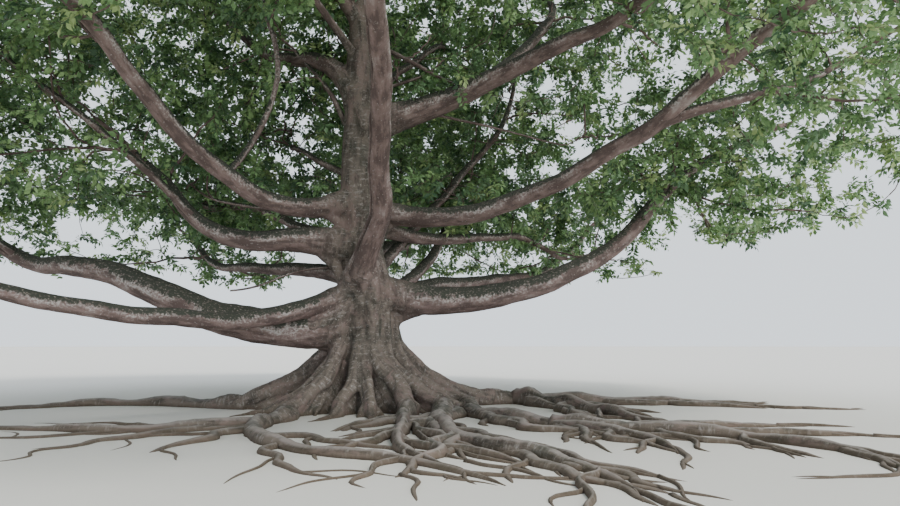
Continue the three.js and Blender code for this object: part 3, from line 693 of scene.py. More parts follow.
def bark_relief(x, y, run, scale=1.0):
    """How far bark stands out at a place in limb coordinates: lumps, long furrows and wrinkles."""
    spot = Vector((x + run * BARK_TWIST, y, run)) * scale
    lumps = noise.noise(spot * 1.4) + 0.5 * noise.noise(spot * 3.1)
    furrows = ripple(spot.x * 6.5, spot.y * 6.5, spot.z * 1.5)
    wrinkles = ripple(spot.x * 4, spot.y * 4, spot.z * 11)
    return min(math.hypot(x, y) * 3, 1) * (0.9 * lumps - 0.75 * abs(furrows) + 0.18 * wrinkles)


def trunk_relief(spot):
    """How far bark stands out on the trunk: broad upright swellings with wrinkles across them."""
    broad = ripple(spot.x * 2.6, spot.y * 2.6, spot.z * 0.7)
    narrow = ripple(spot.x * 7, spot.y * 7, spot.z * 1.6)
    wrinkles = ripple(spot.x * 3, spot.y * 3, spot.z * 10)
    return 1.3 * broad + 0.5 * narrow + 0.15 * wrinkles


def put_in_scene(name, bm, material):
    """Turns a bmesh into a smooth shaded object with outward faces."""
    mesh = bpy.data.meshes.new(name)
    bmesh.ops.recalc_face_normals(bm, faces=bm.faces)
    bm.to_mesh(mesh)
    bm.free()
    mesh.polygons.foreach_set("use_smooth", [True] * len(mesh.polygons))
    mesh.materials.append(material)
    made = bpy.data.objects.new(name, mesh)
    bpy.context.scene.collection.objects.link(made)
    return made


def cut_at_ground(bm):
    """Takes off what lies below the ground and closes the flat cut."""
    cut = bmesh.ops.bisect_plane(bm, geom=[*bm.verts, *bm.edges, *bm.faces], dist=CUT_SNAP,
                                 plane_co=(0, 0, 0), plane_no=(0, 0, -1), clear_outer=True)
    rim = [part for part in cut["geom_cut"] if isinstance(part, bmesh.types.BMEdge)]
    for vert in bm.verts:
        vert.co.z = max(vert.co.z, 0)
    bmesh.ops.holes_fill(bm, edges=rim, sides=0)


def swept(stations, sides):
    """A bmesh of one swept limb with outward faces."""
    bm = bmesh.new()
    sweep(bm, stations, sides)
    bmesh.ops.recalc_face_normals(bm, faces=bm.faces)
    return bm


def add_member(whole, member):
    """Moves one bmesh into another."""
    mesh = bpy.data.meshes.new("member")
    member.to_mesh(mesh)
    member.free()
    whole.from_mesh(mesh)
    bpy.data.meshes.remove(mesh)


def bent_path(start, leave, end, points):
    """Places along a curve that leaves in one direction and bends to its end."""
    return [Vector(place) for place in curved(np.array(start), np.array(leave), np.array(end), points, 0.5)]


def core_member():
    """The trunk's core from below the ground to its tip."""
    heights = np.linspace(-BURIED, TRUNK_TOP, CORE_STEPS)
    radii = [trunk_radius(height) for height in heights]
    return round_stations([trunk_place(height) for height in heights], radii, heights), "core", None


def flute_blade(flute):
    """The thin blade under a flute's back, from inside the trunk to its toe."""
    distances = np.linspace(FLUTE_INSIDE, flute.reach, FLUTE_STEPS)
    places = [flute_spot(flute, d) for d in distances]
    return [(turn, BLADE_WIDTH * flute.width, flute_height(flute, d) - BLADE_SUNK, d)
            for turn, d in zip(frames_along(places), distances)], "flute", None


def flute_back(flute):
    """A flute's rounded back: a column down the trunk, then the back itself and its toe."""
    radii = [flute.width * mixed(*COLUMN_GIRTH, share) for share in np.linspace(0, 1, COLUMN_STEPS)]
    heights = np.linspace(flute.top, flute_height(flute, WAIST) + COLUMN_OVERLAP, COLUMN_STEPS)
    places = []
    for share, height, radius in zip(np.linspace(0, 1, COLUMN_STEPS), heights, radii):
        heading = flute.column + COLUMN_WANDER * ripple(height, flute.heading, 8)
        stand = flute.stand * mixed(*COLUMN_STAND, smooth_share(share, 0, 0.5))
        places.append(trunk_place(height) + direction(heading) * (trunk_radius(height) + stand - radius))
    thick, thin = (share * flute.width for share in BACK_GIRTH)
    for d in np.linspace(WAIST, flute.reach, FLUTE_STEPS):
        radius = mixed(thick, max(thin, BACK_TOE * flute.toe), (d - WAIST) / (flute.reach - WAIST))
        radius *= 1 + BACK_SWELL * ripple(d * 2.6, flute.heading, 5)
        places.append(flute_spot(flute, d) + UP * (flute_height(flute, d) - BACK_SUNK * radius))
        radii.append(radius)
    if not any(root.start == flute.heading for root in ROOTS):
        turned = TOE_TURNS[flute.heading % 2]
        for share in np.linspace(0.1, 1, TOE_STEPS):
            places.append(places[-1] + direction(flute.heading + turned * share) * TOE_STEP)
            places[-1].z -= TOE_SINK
            radii.append(radii[-1] * TOE_TAPER)
    runs = [run + COLUMN_TOP - flute.top for run in run_along(places)]
    return round_stations(places, radii, runs), "flute", "root"


def small_toe(k, flute, after):
    """A smaller toe that parts from one of two neighbouring flutes and ends between them."""
    odd = k % 2
    giver = after if k % 3 == 1 else flute
    leave_at = SMALL_TOE_STARTS[odd]
    start = flute_spot(giver, leave_at) + UP * (flute_height(giver, leave_at) - SMALL_TOE_SUNK)
    middle = flute.heading + (after.heading - flute.heading) % 360 * SMALL_TOE_TURNS[odd]
    end = direction(middle) * SMALL_TOE_REACHES[odd] * min(flute.reach, after.reach) - UP * SMALL_TOE_END
    leave = (direction(giver.heading) * 0.35 - UP * 0.9).normalized()
    places = bent_path(start, leave, end, SMALL_TOE_POINTS)
    places = [place + wander(place, SMALL_TOE_WANDER, 1.9) for place in places]
    radii = [mixed(*SMALL_TOE_GIRTH, n / (SMALL_TOE_POINTS - 1)) for n in range(SMALL_TOE_POINTS)]
    return round_stations(places, radii), "small toe", "root"


def rib_member(rib):
    """A rib that winds up the trunk and fades into it."""
    heights = np.linspace(rib.foot, rib.top, RIB_STEPS)
    places = []
    for height in heights:
        share = (height - rib.foot) / (rib.top - rib.foot)
        sunk = rib.radius * mixed(*RIB_SUNK, smooth_share(share, 0.7, 1))
        drift = RIB_WANDER * ripple(height, rib.foot_heading, 2)
        heading = mixed(rib.foot_heading, rib.top_heading, share) + drift
        places.append(trunk_place(height) + direction(heading) * (trunk_radius(height) - sunk))
    return round_stations(places, [rib.radius] * RIB_STEPS, heights), "rib", None


def stump_share(run, length):
    """Swelling of a limb's root where it is fused with the trunk, sinking into the limb at its end."""
    return mixed(*STUMP_SWELL, smooth_share(run, 0.45 * length, length))


def bough_stump(bough):
    """The root of a bough where it is fused with the trunk."""
    stretch = trunk_radius(bough.start) + STUMP_LENGTH * bough.girth[0]
    path = [place for place, run in zip(*bough_line(bough, FINE_STEP)) if run < stretch]
    radii = [bough_radius(bough, run / bough.length) * stump_share(run, stretch) for run in run_along(path)]
    return round_stations(path, radii), "bough stump", "bough"


def web_under(bough):
    """The wood that fills the corner between the trunk and a heavy bough above it."""
    low = bough.start - WEB_DROP
    foot = trunk_place(low) + direction(bough.heading[0]) * (trunk_radius(low) - WEB_SUNK)
    path, runs = bough_line(bough, FINE_STEP)
    reached = next(k for k, run in enumerate(runs) if run > trunk_radius(bough.start) + WEB_REACH)
    thick = bough_radius(bough, runs[reached] / bough.length)
    places = bent_path(foot, UP, path[reached] - UP * 0.5 * thick, WEB_STEPS)
    radii = [thick * mixed(*WEB_THICKNESS, n / (WEB_STEPS - 1)) for n in range(WEB_STEPS)]
    return round_stations(places, radii), "web", None


def root_stations(root, path):
    """Stations of a root that swells and shrinks along its length, half sunk in the ground."""
    whole = math.ceil(root.length / ROOT_STEP)
    stations = []
    for k, (turn, run) in enumerate(zip(frames_along(path), run_along(path))):
        share = k / whole
        taper = mixed(1, ROOT_TIP, share)
        swell = 1 + ROOT_SWELL * math.sin(math.radians(share * 9 * GOLDEN_TURN))
        narrow = mixed(1, 0.45, smooth_share(share, 0.85, 1))
        stations.append((turn, root.width * taper * narrow, root.height * taper * swell, run))
    return stations


def root_stump(root):
    """The start of a surface root where it is fused with its flute."""
    stations = []
    for turn, wide, high, run in root_stations(root, root_path(root)[:ROOT_STUMP_STEPS]):
        share = stump_share(run, ROOT_STUMP)
        stations.append((turn, wide * share, high * share, run))
    return stations, "root stump", "root"


def trunk_members():
    """Every swept member of the trunk as (stations, kind of limb, what its bark follows)."""
    members = [core_member()]
    for flute in FLUTES:
        members += [flute_blade(flute), flute_back(flute)]
    ring = sorted(FLUTES)
    members += [small_toe(k, flute, ring[(k + 1) % len(ring)]) for k, flute in enumerate(ring)]
    members += [rib_member(rib) for rib in RIBS]
    for bough in BOUGHS:
        if bough.parent is None:
            members.append(bough_stump(bough))
            if bough.girth[0] > WEB_GIRTH and bough.start < WEB_TOP:
                members.append(web_under(bough))
    return members + [root_stump(root) for root in ROOTS if root.parent is None]


def fused_skin(context, members, detail):
    """One closed skin of small faces round all the members."""
    bm = bmesh.new()
    for stations, limb, _ in members:
        add_member(bm, swept(stations, SIDES[limb]))
    rough = put_in_scene("trunk_members", bm, bark_material())
    remesh = rough.modifiers.new("Fuse", "REMESH")
    remesh.mode = "VOXEL"
    remesh.voxel_size = detail
    soften = rough.modifiers.new("Soften", "SMOOTH")
    soften.factor, soften.iterations = SOFTENING
    fused = bpy.data.meshes.new_from_object(rough.evaluated_get(context.evaluated_depsgraph_get()))
    bpy.data.objects.remove(rough)
    skin = bmesh.new()
    skin.from_mesh(fused)
    bpy.data.meshes.remove(fused)
    skin.normal_update()
    return skin


class BarkGuides:
    """Frames along the roots and boughs, which the bark of the trunk's skin follows."""

    def __init__(self, members):
        self.nearest = {followed: kdtree.KDTree(MOST_GUIDES) for followed in ("root", "bough")}
        self.guides = []
        for stations, _, followed in members:
            for turn, wide, _, run in stations if followed else ():
                self.nearest[followed].insert(turn.translation, len(self.guides))
                self.guides.append((turn.inverted(), wide, run))
        for tree in self.nearest.values():
            tree.balance()

    def bark_place(self, spot):
        """A spot in the coordinates of its limb, and its share of bough bark."""
        _, k, gap = self.nearest["bough"].find(spot)
        inward, wide, run = self.guides[k]
        share = smooth_share(run, *BARK_CHANGE) * (1 - smooth_share(gap / wide, *BARK_REACH))
        if share < 0.5:
            inward, _, run = self.guides[self.nearest["root"].find(spot)[1]]
        place = inward @ spot + UP * run
        if share < 0.5:
            upright = Vector((-spot.y, -spot.x, COLUMN_TOP - spot.z))
            place = place.lerp(upright, smooth_share(spot.z, *UPRIGHT_BARK))
        return place, share


class BANYAN_OT_trunk(bpy.types.Operator):
    """Fuse the trunk, its flutes, ribs and the roots of the boughs into one skin of bark"""

    bl_idname = "banyan.trunk"
    bl_label = "Trunk"

    def execute(self, context):
        sizes = context.scene.banyan_sizes
        members = trunk_members()
        guides = BarkGuides(members)
        bm = fused_skin(context, members, sizes.trunk_detail)
        grain = bm.verts.layers.float_vector.new("bark_place")
        limb = bm.verts.layers.float.new("bough_share")
        for vert in bm.verts:
            vert[grain], vert[limb] = guides.bark_place(vert.co)
            vert.co += vert.normal * (sizes.relief * trunk_relief(vert.co))
        cut_at_ground(bm)
        trunk = put_in_scene("trunk_bark", bm, bark_material())
        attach(trunk, "root")
        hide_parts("trunk")
        return {"FINISHED"}


class BANYAN_OT_boughs(bpy.types.Operator):
    """Grow each bough as one tapering limb with lumps, furrows and a collar"""

    bl_idname = "banyan.boughs"
    bl_label = "Boughs"

    def execute(self, context):
        sizes = context.scene.banyan_sizes
        for bough in BOUGHS + SMALL_LIMBS:
            path, runs = bough_line(bough, sizes.ring_step)
            radii = [bough_radius(bough, run / bough.length) for run in runs]
            grooved = bough.name == SWAYING_BOUGH
            sides = max(FEWEST_SIDES, min(MOST_SIDES, int(bough.girth[0] * SIDES_PER_METRE)))
            if grooved:
                sides = SIDES["grooved bough"]
            bm = bmesh.new()
            sweep(bm, round_stations(path, radii, runs), sides)
            bm.normal_update()
            grain = bm.verts.layers.float_vector["bark_place"]
            limb = bm.verts.layers.float.new("bough_share")
            groove = bm.verts.layers.float.new("groove")
            for vert in bm.verts:
                x, y, run = vert[grain]
                stand = bark_relief(x, y, run)
                knot = max(ripple(run * 0.9, bough.length, 3) - KNOT_LEVEL, 0)
                if grooved:
                    line = GROOVE_ANGLE + GROOVE_WAVER * ripple(run * 0.6, 1, 2)
                    vert[groove] = math.exp(-((math.atan2(y, x) - line) / GROOVE_WIDTH) ** 2)
                    stand -= GROOVE_DEPTH * vert[groove]
                vert.co += vert.normal * (sizes.relief * stand + KNOT_SWELL * knot * math.hypot(x, y))
                vert[limb] = 1 if bough.parent else smooth_share(run, *BARK_CHANGE)
            made = put_in_scene("bark_" + bough.name, bm, bark_material())
            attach(made, "root")
            if bough in BOUGHS:
                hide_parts("bough_" + bough.name)
        return {"FINISHED"}


def side_roots(path, width, height, length, deal, depth):
    """Smaller roots that part from a root to alternate sides, as (path, width, height)."""
    found = []
    crowd = smooth_share(path[len(path) // 2].x, *CROWD_SIDES)
    count = int(length / mixed(*CROWD_SPACING[depth], crowd))
    for k in range(count):
        share = (k + 0.6 + 0.3 * deal.random()) / (count + 0.4)
        at = min(int(share * (len(path) - 1)), len(path) - 2)
        ahead = (path[at + 1] - path[at]).normalized()
        own = length * (0.32 + 0.42 * deal.random()) * (1 - 0.45 * share)
        turned = (1 if k % 2 else -1) * deal.uniform(*PARTING_TURN) * mixed(*CROWD_TURN, crowd)
        heading = math.degrees(math.atan2(ahead.y, ahead.x)) + turned
        bend = -turned * deal.uniform(*PARTING_BEND)
        line = [path[at].copy()]
        steps = max(PARTING_POINTS, int(own / ROOT_STEP))
        for n in range(steps):
            swing = PARTING_SWING * ripple(n * 0.2, heading, own)
            spot = line[-1] + direction(heading + bend * n / steps + swing) * (own / steps)
            if math.hypot(spot.x, spot.y) < TRUNK_CLEARING:
                break
            line.append(spot)
        if len(line) < PARTING_POINTS:
            continue
        taper = mixed(1, ROOT_TIP, share) * mixed(*CROWD_GIRTH, crowd)
        wide = width * taper * deal.uniform(*PARTING_WIDTH)
        high = height * taper * deal.uniform(*PARTING_HEIGHT)
        found.append((line, wide, high))
        if depth > 1:
            found += side_roots(line, wide, high, own, deal, depth - 1)
    return found


def root_limbs(root, deal):
    """A surface root and those that part from it, as (stations, kind), which sink at their ends."""
    path = [place + wander(place, ROOT_DRIFT, 1.1) for place in root_path(root)]
    for k, place in enumerate(path):
        place.z = -ROOT_SUNK * ROOT_TIP * root.height * smooth_share(k / len(path), *ROOT_SINKS)
    limbs = [(root_stations(root, path), "root")]
    for line, wide, high in side_roots(path, root.width, root.height, root.length, deal, 2):
        shares = [k / (len(line) - 1) for k in range(len(line))]
        for place, share in zip(line, shares):
            place.z = -PARTING_SUNK * high * smooth_share(share, *PARTING_SINKS)
        stations = []
        for turn, run, share in zip(frames_along(line), run_along(line), shares):
            thin = mixed(*PARTING_TAPER, share)
            thin *= mixed(*PARTING_POINT, smooth_share(share, *PARTING_POINTED))
            stations.append((turn, wide * thin, high * thin, run))
        limbs.append((stations, "side root"))
    return limbs


class BANYAN_OT_roots(bpy.types.Operator):
    """Spread the surface roots over the ground, with the smaller roots that part from them"""

    bl_idname = "banyan.roots"
    bl_label = "Surface Roots"

    def execute(self, context):
        sizes = context.scene.banyan_sizes
        material = root_material()
        deal = random.Random(SEED)
        for root in ROOTS:
            whole = bmesh.new()
            for stations, limb in root_limbs(root, deal):
                bm = swept(stations, SIDES[limb])
                grain = bm.verts.layers.float_vector["bark_place"]
                for vert in bm.verts:
                    x, y, run = vert[grain]
                    vert.co += vert.normal * sizes.relief * ROOT_RELIEF * bark_relief(x, y, run, ROOT_BARK)
                add_member(whole, bm)
            cut_at_ground(whole)
            made = put_in_scene("surface_root_" + root.name, whole, material)
            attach(made, "root")
            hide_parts("root_" + root.name)
        return {"FINISHED"}


def tip_of(name):
    """Tip of a bough or of the trunk, the direction it points and its radius."""
    if name == "trunk":
        return trunk_place(TRUNK_TOP), UP, GIRTH_RADII[-1]
    bough = bough_named(name)
    path = bough_path(bough)
    return path[-1], (path[-1] - path[-2]).normalized(), bough_radius(bough, 1)


def mass_middle(mass):
    return tip_of(mass.bough)[0] + direction(mass.heading, mass.climb) * mass.shift


def billow(spots):
    """Slow swelling and shrinking of the crown's outline, from -1 to 1."""
    x, y, z = spots.T
    waves = np.sin(0.83 * x + 0.41 * y) + np.sin(0.77 * y - 0.52 * z + 2) + np.sin(0.95 * z + 0.36 * x + 4)
    return waves / 3


def unit_rows(rows, guard=0.0):
    """Each row made one long; a small guard keeps an empty row from dividing by nothing."""
    return rows / (np.linalg.norm(rows, axis=1)[:, None] + guard)


def inside_space(spots, mass, own, middles, margin, seam):
    """Which spots lie in a mass's own space: its reach, its side of its neighbours, the crown."""
    depth = np.where(spots[:, 2] > CROWN_LEVEL, CROWN_RISE, CROWN_DROP)
    rise = (spots[:, 2] - CROWN_LEVEL) / depth
    far = (spots[:, 0] ** 2 + spots[:, 1] ** 2) / (CROWN_RADIUS - margin) ** 2
    good = far + rise ** 2 < CROWN_FILL + CROWN_BILLOW * billow(spots) - margin / CROWN_RISE
    good &= spots[:, 2] > mass.floor + margin
    room = mass.reach * (MASS_FILL + MASS_BILLOW * billow(spots * 1.7))
    good &= np.linalg.norm(spots - own, axis=1) < room
    for other in middles:
        normal = other - own
        apart = np.linalg.norm(normal)
        if apart > 0.001:
            good &= (spots - own) @ normal / apart < apart / 2 - seam
    return good


def spots_in_ball(rng, count, middle, reach, flat=1.0):
    """Random spots spread evenly through a ball, which may be flattened."""
    ahead = unit_rows(rng.normal(size=(count, 3)))
    return middle + ahead * (reach * np.cbrt(rng.random(count)))[:, None] * (1, 1, flat)


def spread_out(spots, count, first):
    """The spots that lie furthest from each other, chosen one by one."""
    gap = np.linalg.norm(spots - first, axis=1)
    chosen = []
    for _ in range(min(count, len(spots))):
        k = int(gap.argmax())
        chosen.append(k)
        gap = np.minimum(gap, np.linalg.norm(spots - spots[k], axis=1))
    return spots[chosen]


class Knots:
    """Places on grown wood from which the next twig may leave, with radius and heading."""

    def __init__(self):
        self.place = np.zeros((MOST_KNOTS, 3))
        self.along = np.zeros((MOST_KNOTS, 3))
        self.radius = np.zeros(MOST_KNOTS)
        self.count = 0

    def add(self, place, along, radius):
        k = self.count
        self.place[k], self.along[k], self.radius[k] = place, along, radius
        self.count += 1

    def add_branch(self, line, radii, first):
        """Adds a knot at each point of a branch from the first free one on."""
        for k in range(first, len(line)):
            step = line[k] - line[k - 1]
            self.add(line[k], step / np.linalg.norm(step), radii[k])

    def nearest(self, target, behind=0.0):
        """The nearest knot, with those that point away from the target counted as further."""
        towards = target - self.place[:self.count]
        gap = np.linalg.norm(towards, axis=1)
        if behind:
            facing = np.einsum("ij,ij->i", towards, self.along[:self.count]) / np.maximum(gap, 0.001)
            gap = gap * (1 + behind * (1 - facing))
        k = int(gap.argmin())
        return self.place[k], self.along[k], self.radius[k]


def curved(start, leave, end, points, pull):
    """Places along a twig that leaves in its parent's direction and bends to its end."""
    share = np.linspace(0, 1, points)[:, None]
    bend = start + leave * np.linalg.norm(end - start) * pull
    return start * (1 - share) ** 2 + bend * 2 * share * (1 - share) + end * share ** 2


def rings_round(along, sides, guard=0.0):
    """Corners of a ring round each direction, one away from its middle."""
    side = unit_rows(np.cross(along, ASIDE), guard)
    over = np.cross(along, side)
    angles = (np.arange(sides) * 2 * math.pi / sides)[None, :, None]
    return side[:, None] * np.cos(angles) + over[:, None] * np.sin(angles)


def rods_from(paths, sides):
    """Corner and face arrays of thin rods along paths of (places, radii), closed at both ends."""
    corners, faces, base = [], [], 0
    one = np.arange(sides)
    two = (one + 1) % sides
    fan = np.arange(1, sides - 1)
    cap = np.stack([np.zeros_like(fan), fan, fan + 1], axis=-1)
    for places, radii in paths:
        along = unit_rows(np.gradient(places, axis=0), 1e-9)
        ring = rings_round(along, sides, 1e-9)
        corners.append((places[:, None] + ring * radii[:, None, None]).reshape(-1, 3))
        k = np.arange(len(places) - 1)[:, None] * sides
        a, b = base + k + one, base + k + two
        faces.append(np.stack([a, b, b + sides], axis=-1).reshape(-1, 3))
        faces.append(np.stack([a, b + sides, a + sides], axis=-1).reshape(-1, 3))
        faces.append(cap[:, ::-1] + base)
        base += len(places) * sides
        faces.append(cap + base - sides)
    return np.concatenate(corners), np.concatenate(faces)


def spikes_from(starts, ends, radius):
    """Corner and face arrays of thin three sided rods that end in a point."""
    ring = starts[:, None] + radius * rings_round(unit_rows(ends - starts), 3)
    corners = np.concatenate([ring, ends[:, None]], axis=1).reshape(-1, 3)
    base = np.arange(len(starts))[:, None, None] * 4
    return corners, (base + np.array(((0, 1, 3), (1, 2, 3), (2, 0, 3), (2, 1, 0)))).reshape(-1, 3)


def joined(parts):
    """Several pairs of corner and face arrays as one pair."""
    corners, faces, base = [], [], 0
    for part_corners, part_faces in parts:
        corners.append(part_corners)
        faces.append(part_faces + base)
        base += len(part_corners)
    return np.concatenate(corners), np.concatenate(faces)


def mesh_from(name, corners, faces):
    """A mesh of triangles from arrays of corners and corner numbers."""
    mesh = bpy.data.meshes.new(name)
    mesh.vertices.add(len(corners))
    mesh.vertices.foreach_set("co", np.ascontiguousarray(corners, dtype=np.float32).ravel())
    mesh.loops.add(faces.size)
    mesh.loops.foreach_set("vertex_index", np.ascontiguousarray(faces, dtype=np.int32).ravel())
    mesh.polygons.add(len(faces))
    mesh.polygons.foreach_set("loop_start", np.arange(0, faces.size, 3, dtype=np.int32))
    mesh.update(calc_edges=True)
    return mesh


def spray_shapes(rng, sizes):
    """Leafy sprays that point along X, each as an array of folded leaves of four corners."""
    shapes = np.zeros((SPRAY_KINDS, LEAVES, 4, 3))
    for kind in range(SPRAY_KINDS):
        for n in range(LEAVES):
            share = n / (LEAVES - 1)
            turn = 0 if share == 1 else (1 if n % 2 else -1) * math.radians(rng.uniform(*LEAF_TURN))
            dip = math.radians(rng.uniform(*LEAF_DIP))
            length = sizes.leaf_length * rng.uniform(*LEAF_LENGTHS)
            width = sizes.leaf_width * rng.uniform(*LEAF_WIDTHS) / 2
            ahead = np.array((math.cos(turn) * math.cos(dip), math.sin(turn) * math.cos(dip), -math.sin(dip)))
            across = np.cross((0, 0, 1), ahead)
            across /= np.linalg.norm(across)
            roll = rng.uniform(-LEAF_ROLL, LEAF_ROLL)
            across = across * math.cos(roll) + np.cross(ahead, across) * math.sin(roll)
            over = np.cross(ahead, across) * width * LEAF_FOLD
            foot = np.array((-SPRAY_LENGTH + SPRAY_LEAFY * share, 0, -SPRAY_SAG * share))
            foot += ahead * LEAF_STALK
            belly = foot + ahead * length * rng.uniform(*LEAF_BELLY)
            shapes[kind, n] = (foot, belly - across * width + over, foot + ahead * length,
                               belly + across * width + over)
    return shapes


def before_shown(spots):
    """Which spots stand before a bough that shows through the crown, seen from the front."""
    eye = np.array(EYE)
    hides = np.zeros(len(spots), bool)
    for name, (low, high) in SHOWN.items():
        line, _ = bough_line(bough_named(name), PATH_STEP)
        for place in line[int(low * len(line)):int(high * len(line))]:
            sight = np.array(place) - eye
            share = (spots - eye) @ sight / (sight @ sight)
            gap = np.linalg.norm(spots - eye - share[:, None] * sight, axis=1)
            hides |= (share < 1) & (gap < SHOWN_ROOM)
    return hides


def stem_of(mass, own, knots):
    """The stem from the tip to the mass's middle, with knots on it and on the outer part of its bough."""
    tip, ahead, radius = (np.array(part) for part in tip_of(mass.bough))
    stem = curved(tip - ahead * 0.05, ahead, own, LIMB.points, STEM_PULL)
    radii = radius * np.linspace(*STEM_TAPER, LIMB.points)
    for k in range(1, LIMB.points):
        knots.add(stem[k], ahead, radii[k] * 0.8)
    if mass.bough != "trunk":
        path = bough_path(bough_named(mass.bough))
        for k in range(int(len(path) * 0.4), len(path), 3):
            knots.add(np.array(path[k]), np.array((path[k] - path[k - 1]).normalized()), radius * 0.8)
    return stem, radii


def strayed(rng, start, leave, end, growth):
    """A bent line whose points between its ends have strayed a little."""
    line = curved(start, leave, end, growth.points, growth.pull)
    line[1:-1] += rng.normal(scale=growth.stray, size=line[1:-1].shape)
    return line


def grow_limbs(rng, targets, knots):
    """Limbs that leave the nearest knot and stop short of their targets."""
    limbs = []
    for target in targets:
        place, along, thick = knots.nearest(target, LIMB.behind)
        line = strayed(rng, place, along, place + (target - place) * LIMB_REACH, LIMB)
        start = max(thick * rng.uniform(*LIMB_SHARE), LIMB_LEAST)
        limbs.append((line, np.linspace(start, max(start * 0.4, LIMB_TIP), LIMB.points)))
        knots.add_branch(*limbs[-1], 3)
    return limbs


def grow_twigs(rng, targets, knots):
    """Twigs that leave the nearest knot, one to the middle of each clump."""
    twigs = []
    for target in targets:
        place, along, thick = knots.nearest(target, TWIG.behind)
        line = strayed(rng, place, along, target, TWIG)
        start = min(thick * 0.7, TWIG_MOST)
        twigs.append((line, np.linspace(max(start, TWIG_LEAST), TWIG_TIP, TWIG.points)))
        knots.add_branch(*twigs[-1], 2)
    return twigs


def inner_clumps(rng, bough, own):
    """Middles of clumps along the inner stretch of a bough, well above the ground and off the trunk."""
    path = bough_path(bough)
    first, last = (int(len(path) * share) for share in INNER_STRETCH)
    inner = np.concatenate([spots_in_ball(rng, INNER_SPOTS, np.array(place), INNER_REACH)
                            for place in path[first:last:3]])
    inner = inner[(inner[:, 2] > INNER_FLOOR) & (np.hypot(inner[:, 0], inner[:, 1]) > INNER_CLEARING)]
    return spread_out(inner, int(bough.length * INNER_CLUMPS), own) if len(inner) else inner


def grow_mass(mass, middles, sizes, rng):
    """One mass grown: limbs, twigs and sprays from the nearest knot."""
    own = np.array(mass_middle(mass))
    tip = np.array(tip_of(mass.bough)[0])
    pool = spots_in_ball(rng, POOL, own, mass.reach)
    pool = pool[inside_space(pool, mass, own, middles, *CLUMP_MARGINS)]
    room = 4 / 3 * math.pi * mass.reach ** 3 * len(pool) / POOL
    knots = Knots()
    limbs = [stem_of(mass, own, knots)]

    def from_tip(spot):
        return float(np.linalg.norm(spot - tip))

    targets = spread_out(pool, round(mass.reach / LIMB_SPACING), own)
    limbs += grow_limbs(rng, sorted(targets, key=from_tip), knots)
    clumps = spread_out(pool, int(room / sizes.clump_room), own)
    outer = len(clumps)
    if own[1] > 1 and mass in MASSES and mass.bough != "trunk":
        clumps = np.concatenate([clumps, inner_clumps(rng, bough_named(mass.bough), own)])
    twigs = grow_twigs(rng, sorted(clumps, key=from_tip), knots)
    tips, roots = [], []
    sprays = round(sizes.clump_sprays * (FINE_SPRAYS if mass.bough == FINE_MASS else 1))
    for n, clump in enumerate(clumps):
        spots = spots_in_ball(rng, sprays * 2, clump, sizes.clump_reach * rng.uniform(0.8, 1.15), 0.75)
        if n < outer:
            spots = spots[inside_space(spots, mass, own, middles, *LEAF_MARGINS)]
        for target in sorted(spots[:sprays], key=lambda spot: float(np.linalg.norm(spot - clump))):
            place, _, _ = knots.nearest(target)
            gap = np.linalg.norm(target - place)
            if gap >= SHORTEST_STALK:
                tips.append(target)
                roots.append(place)
                knots.add(place + (target - place) * 0.5, (target - place) / gap, STALK_RADIUS)
    tips, roots = np.array(tips), np.array(roots)
    seen = ~(before_shown(tips) | before_shown(tips + unit_rows(roots - tips) * SPRAY_MIDDLE))
    return limbs, twigs, roots[seen], tips[seen]


def sprays_at(rng, roots, tips, shapes, size):
    """Corner and face arrays of sprays of leaves, whose leafy stretch ends at each twig's tip."""
    along = unit_rows(tips - roots)
    along[:, 2] -= SPRAY_DROOP
    along = unit_rows(along)
    side = np.cross((0, 0, 1), along)
    side += rng.normal(scale=SPRAY_ROLL, size=side.shape)
    side -= along * np.einsum("ij,ij->i", side, along)[:, None]
    side = unit_rows(side)
    turn = np.stack([along, side, np.cross(along, side)], axis=1)
    picked = shapes[rng.integers(0, len(shapes), len(tips))].reshape(len(tips), -1, 3)
    scale = size * rng.uniform(*SPRAY_SCALES, len(tips))[:, None, None]
    corners = (np.matmul(picked * scale, turn) + tips[:, None]).reshape(-1, 3)
    leaf = np.arange(len(corners) // 4)[:, None, None] * 4
    return corners, (leaf + np.array(((0, 1, 2), (0, 2, 3)))).reshape(-1, 3)


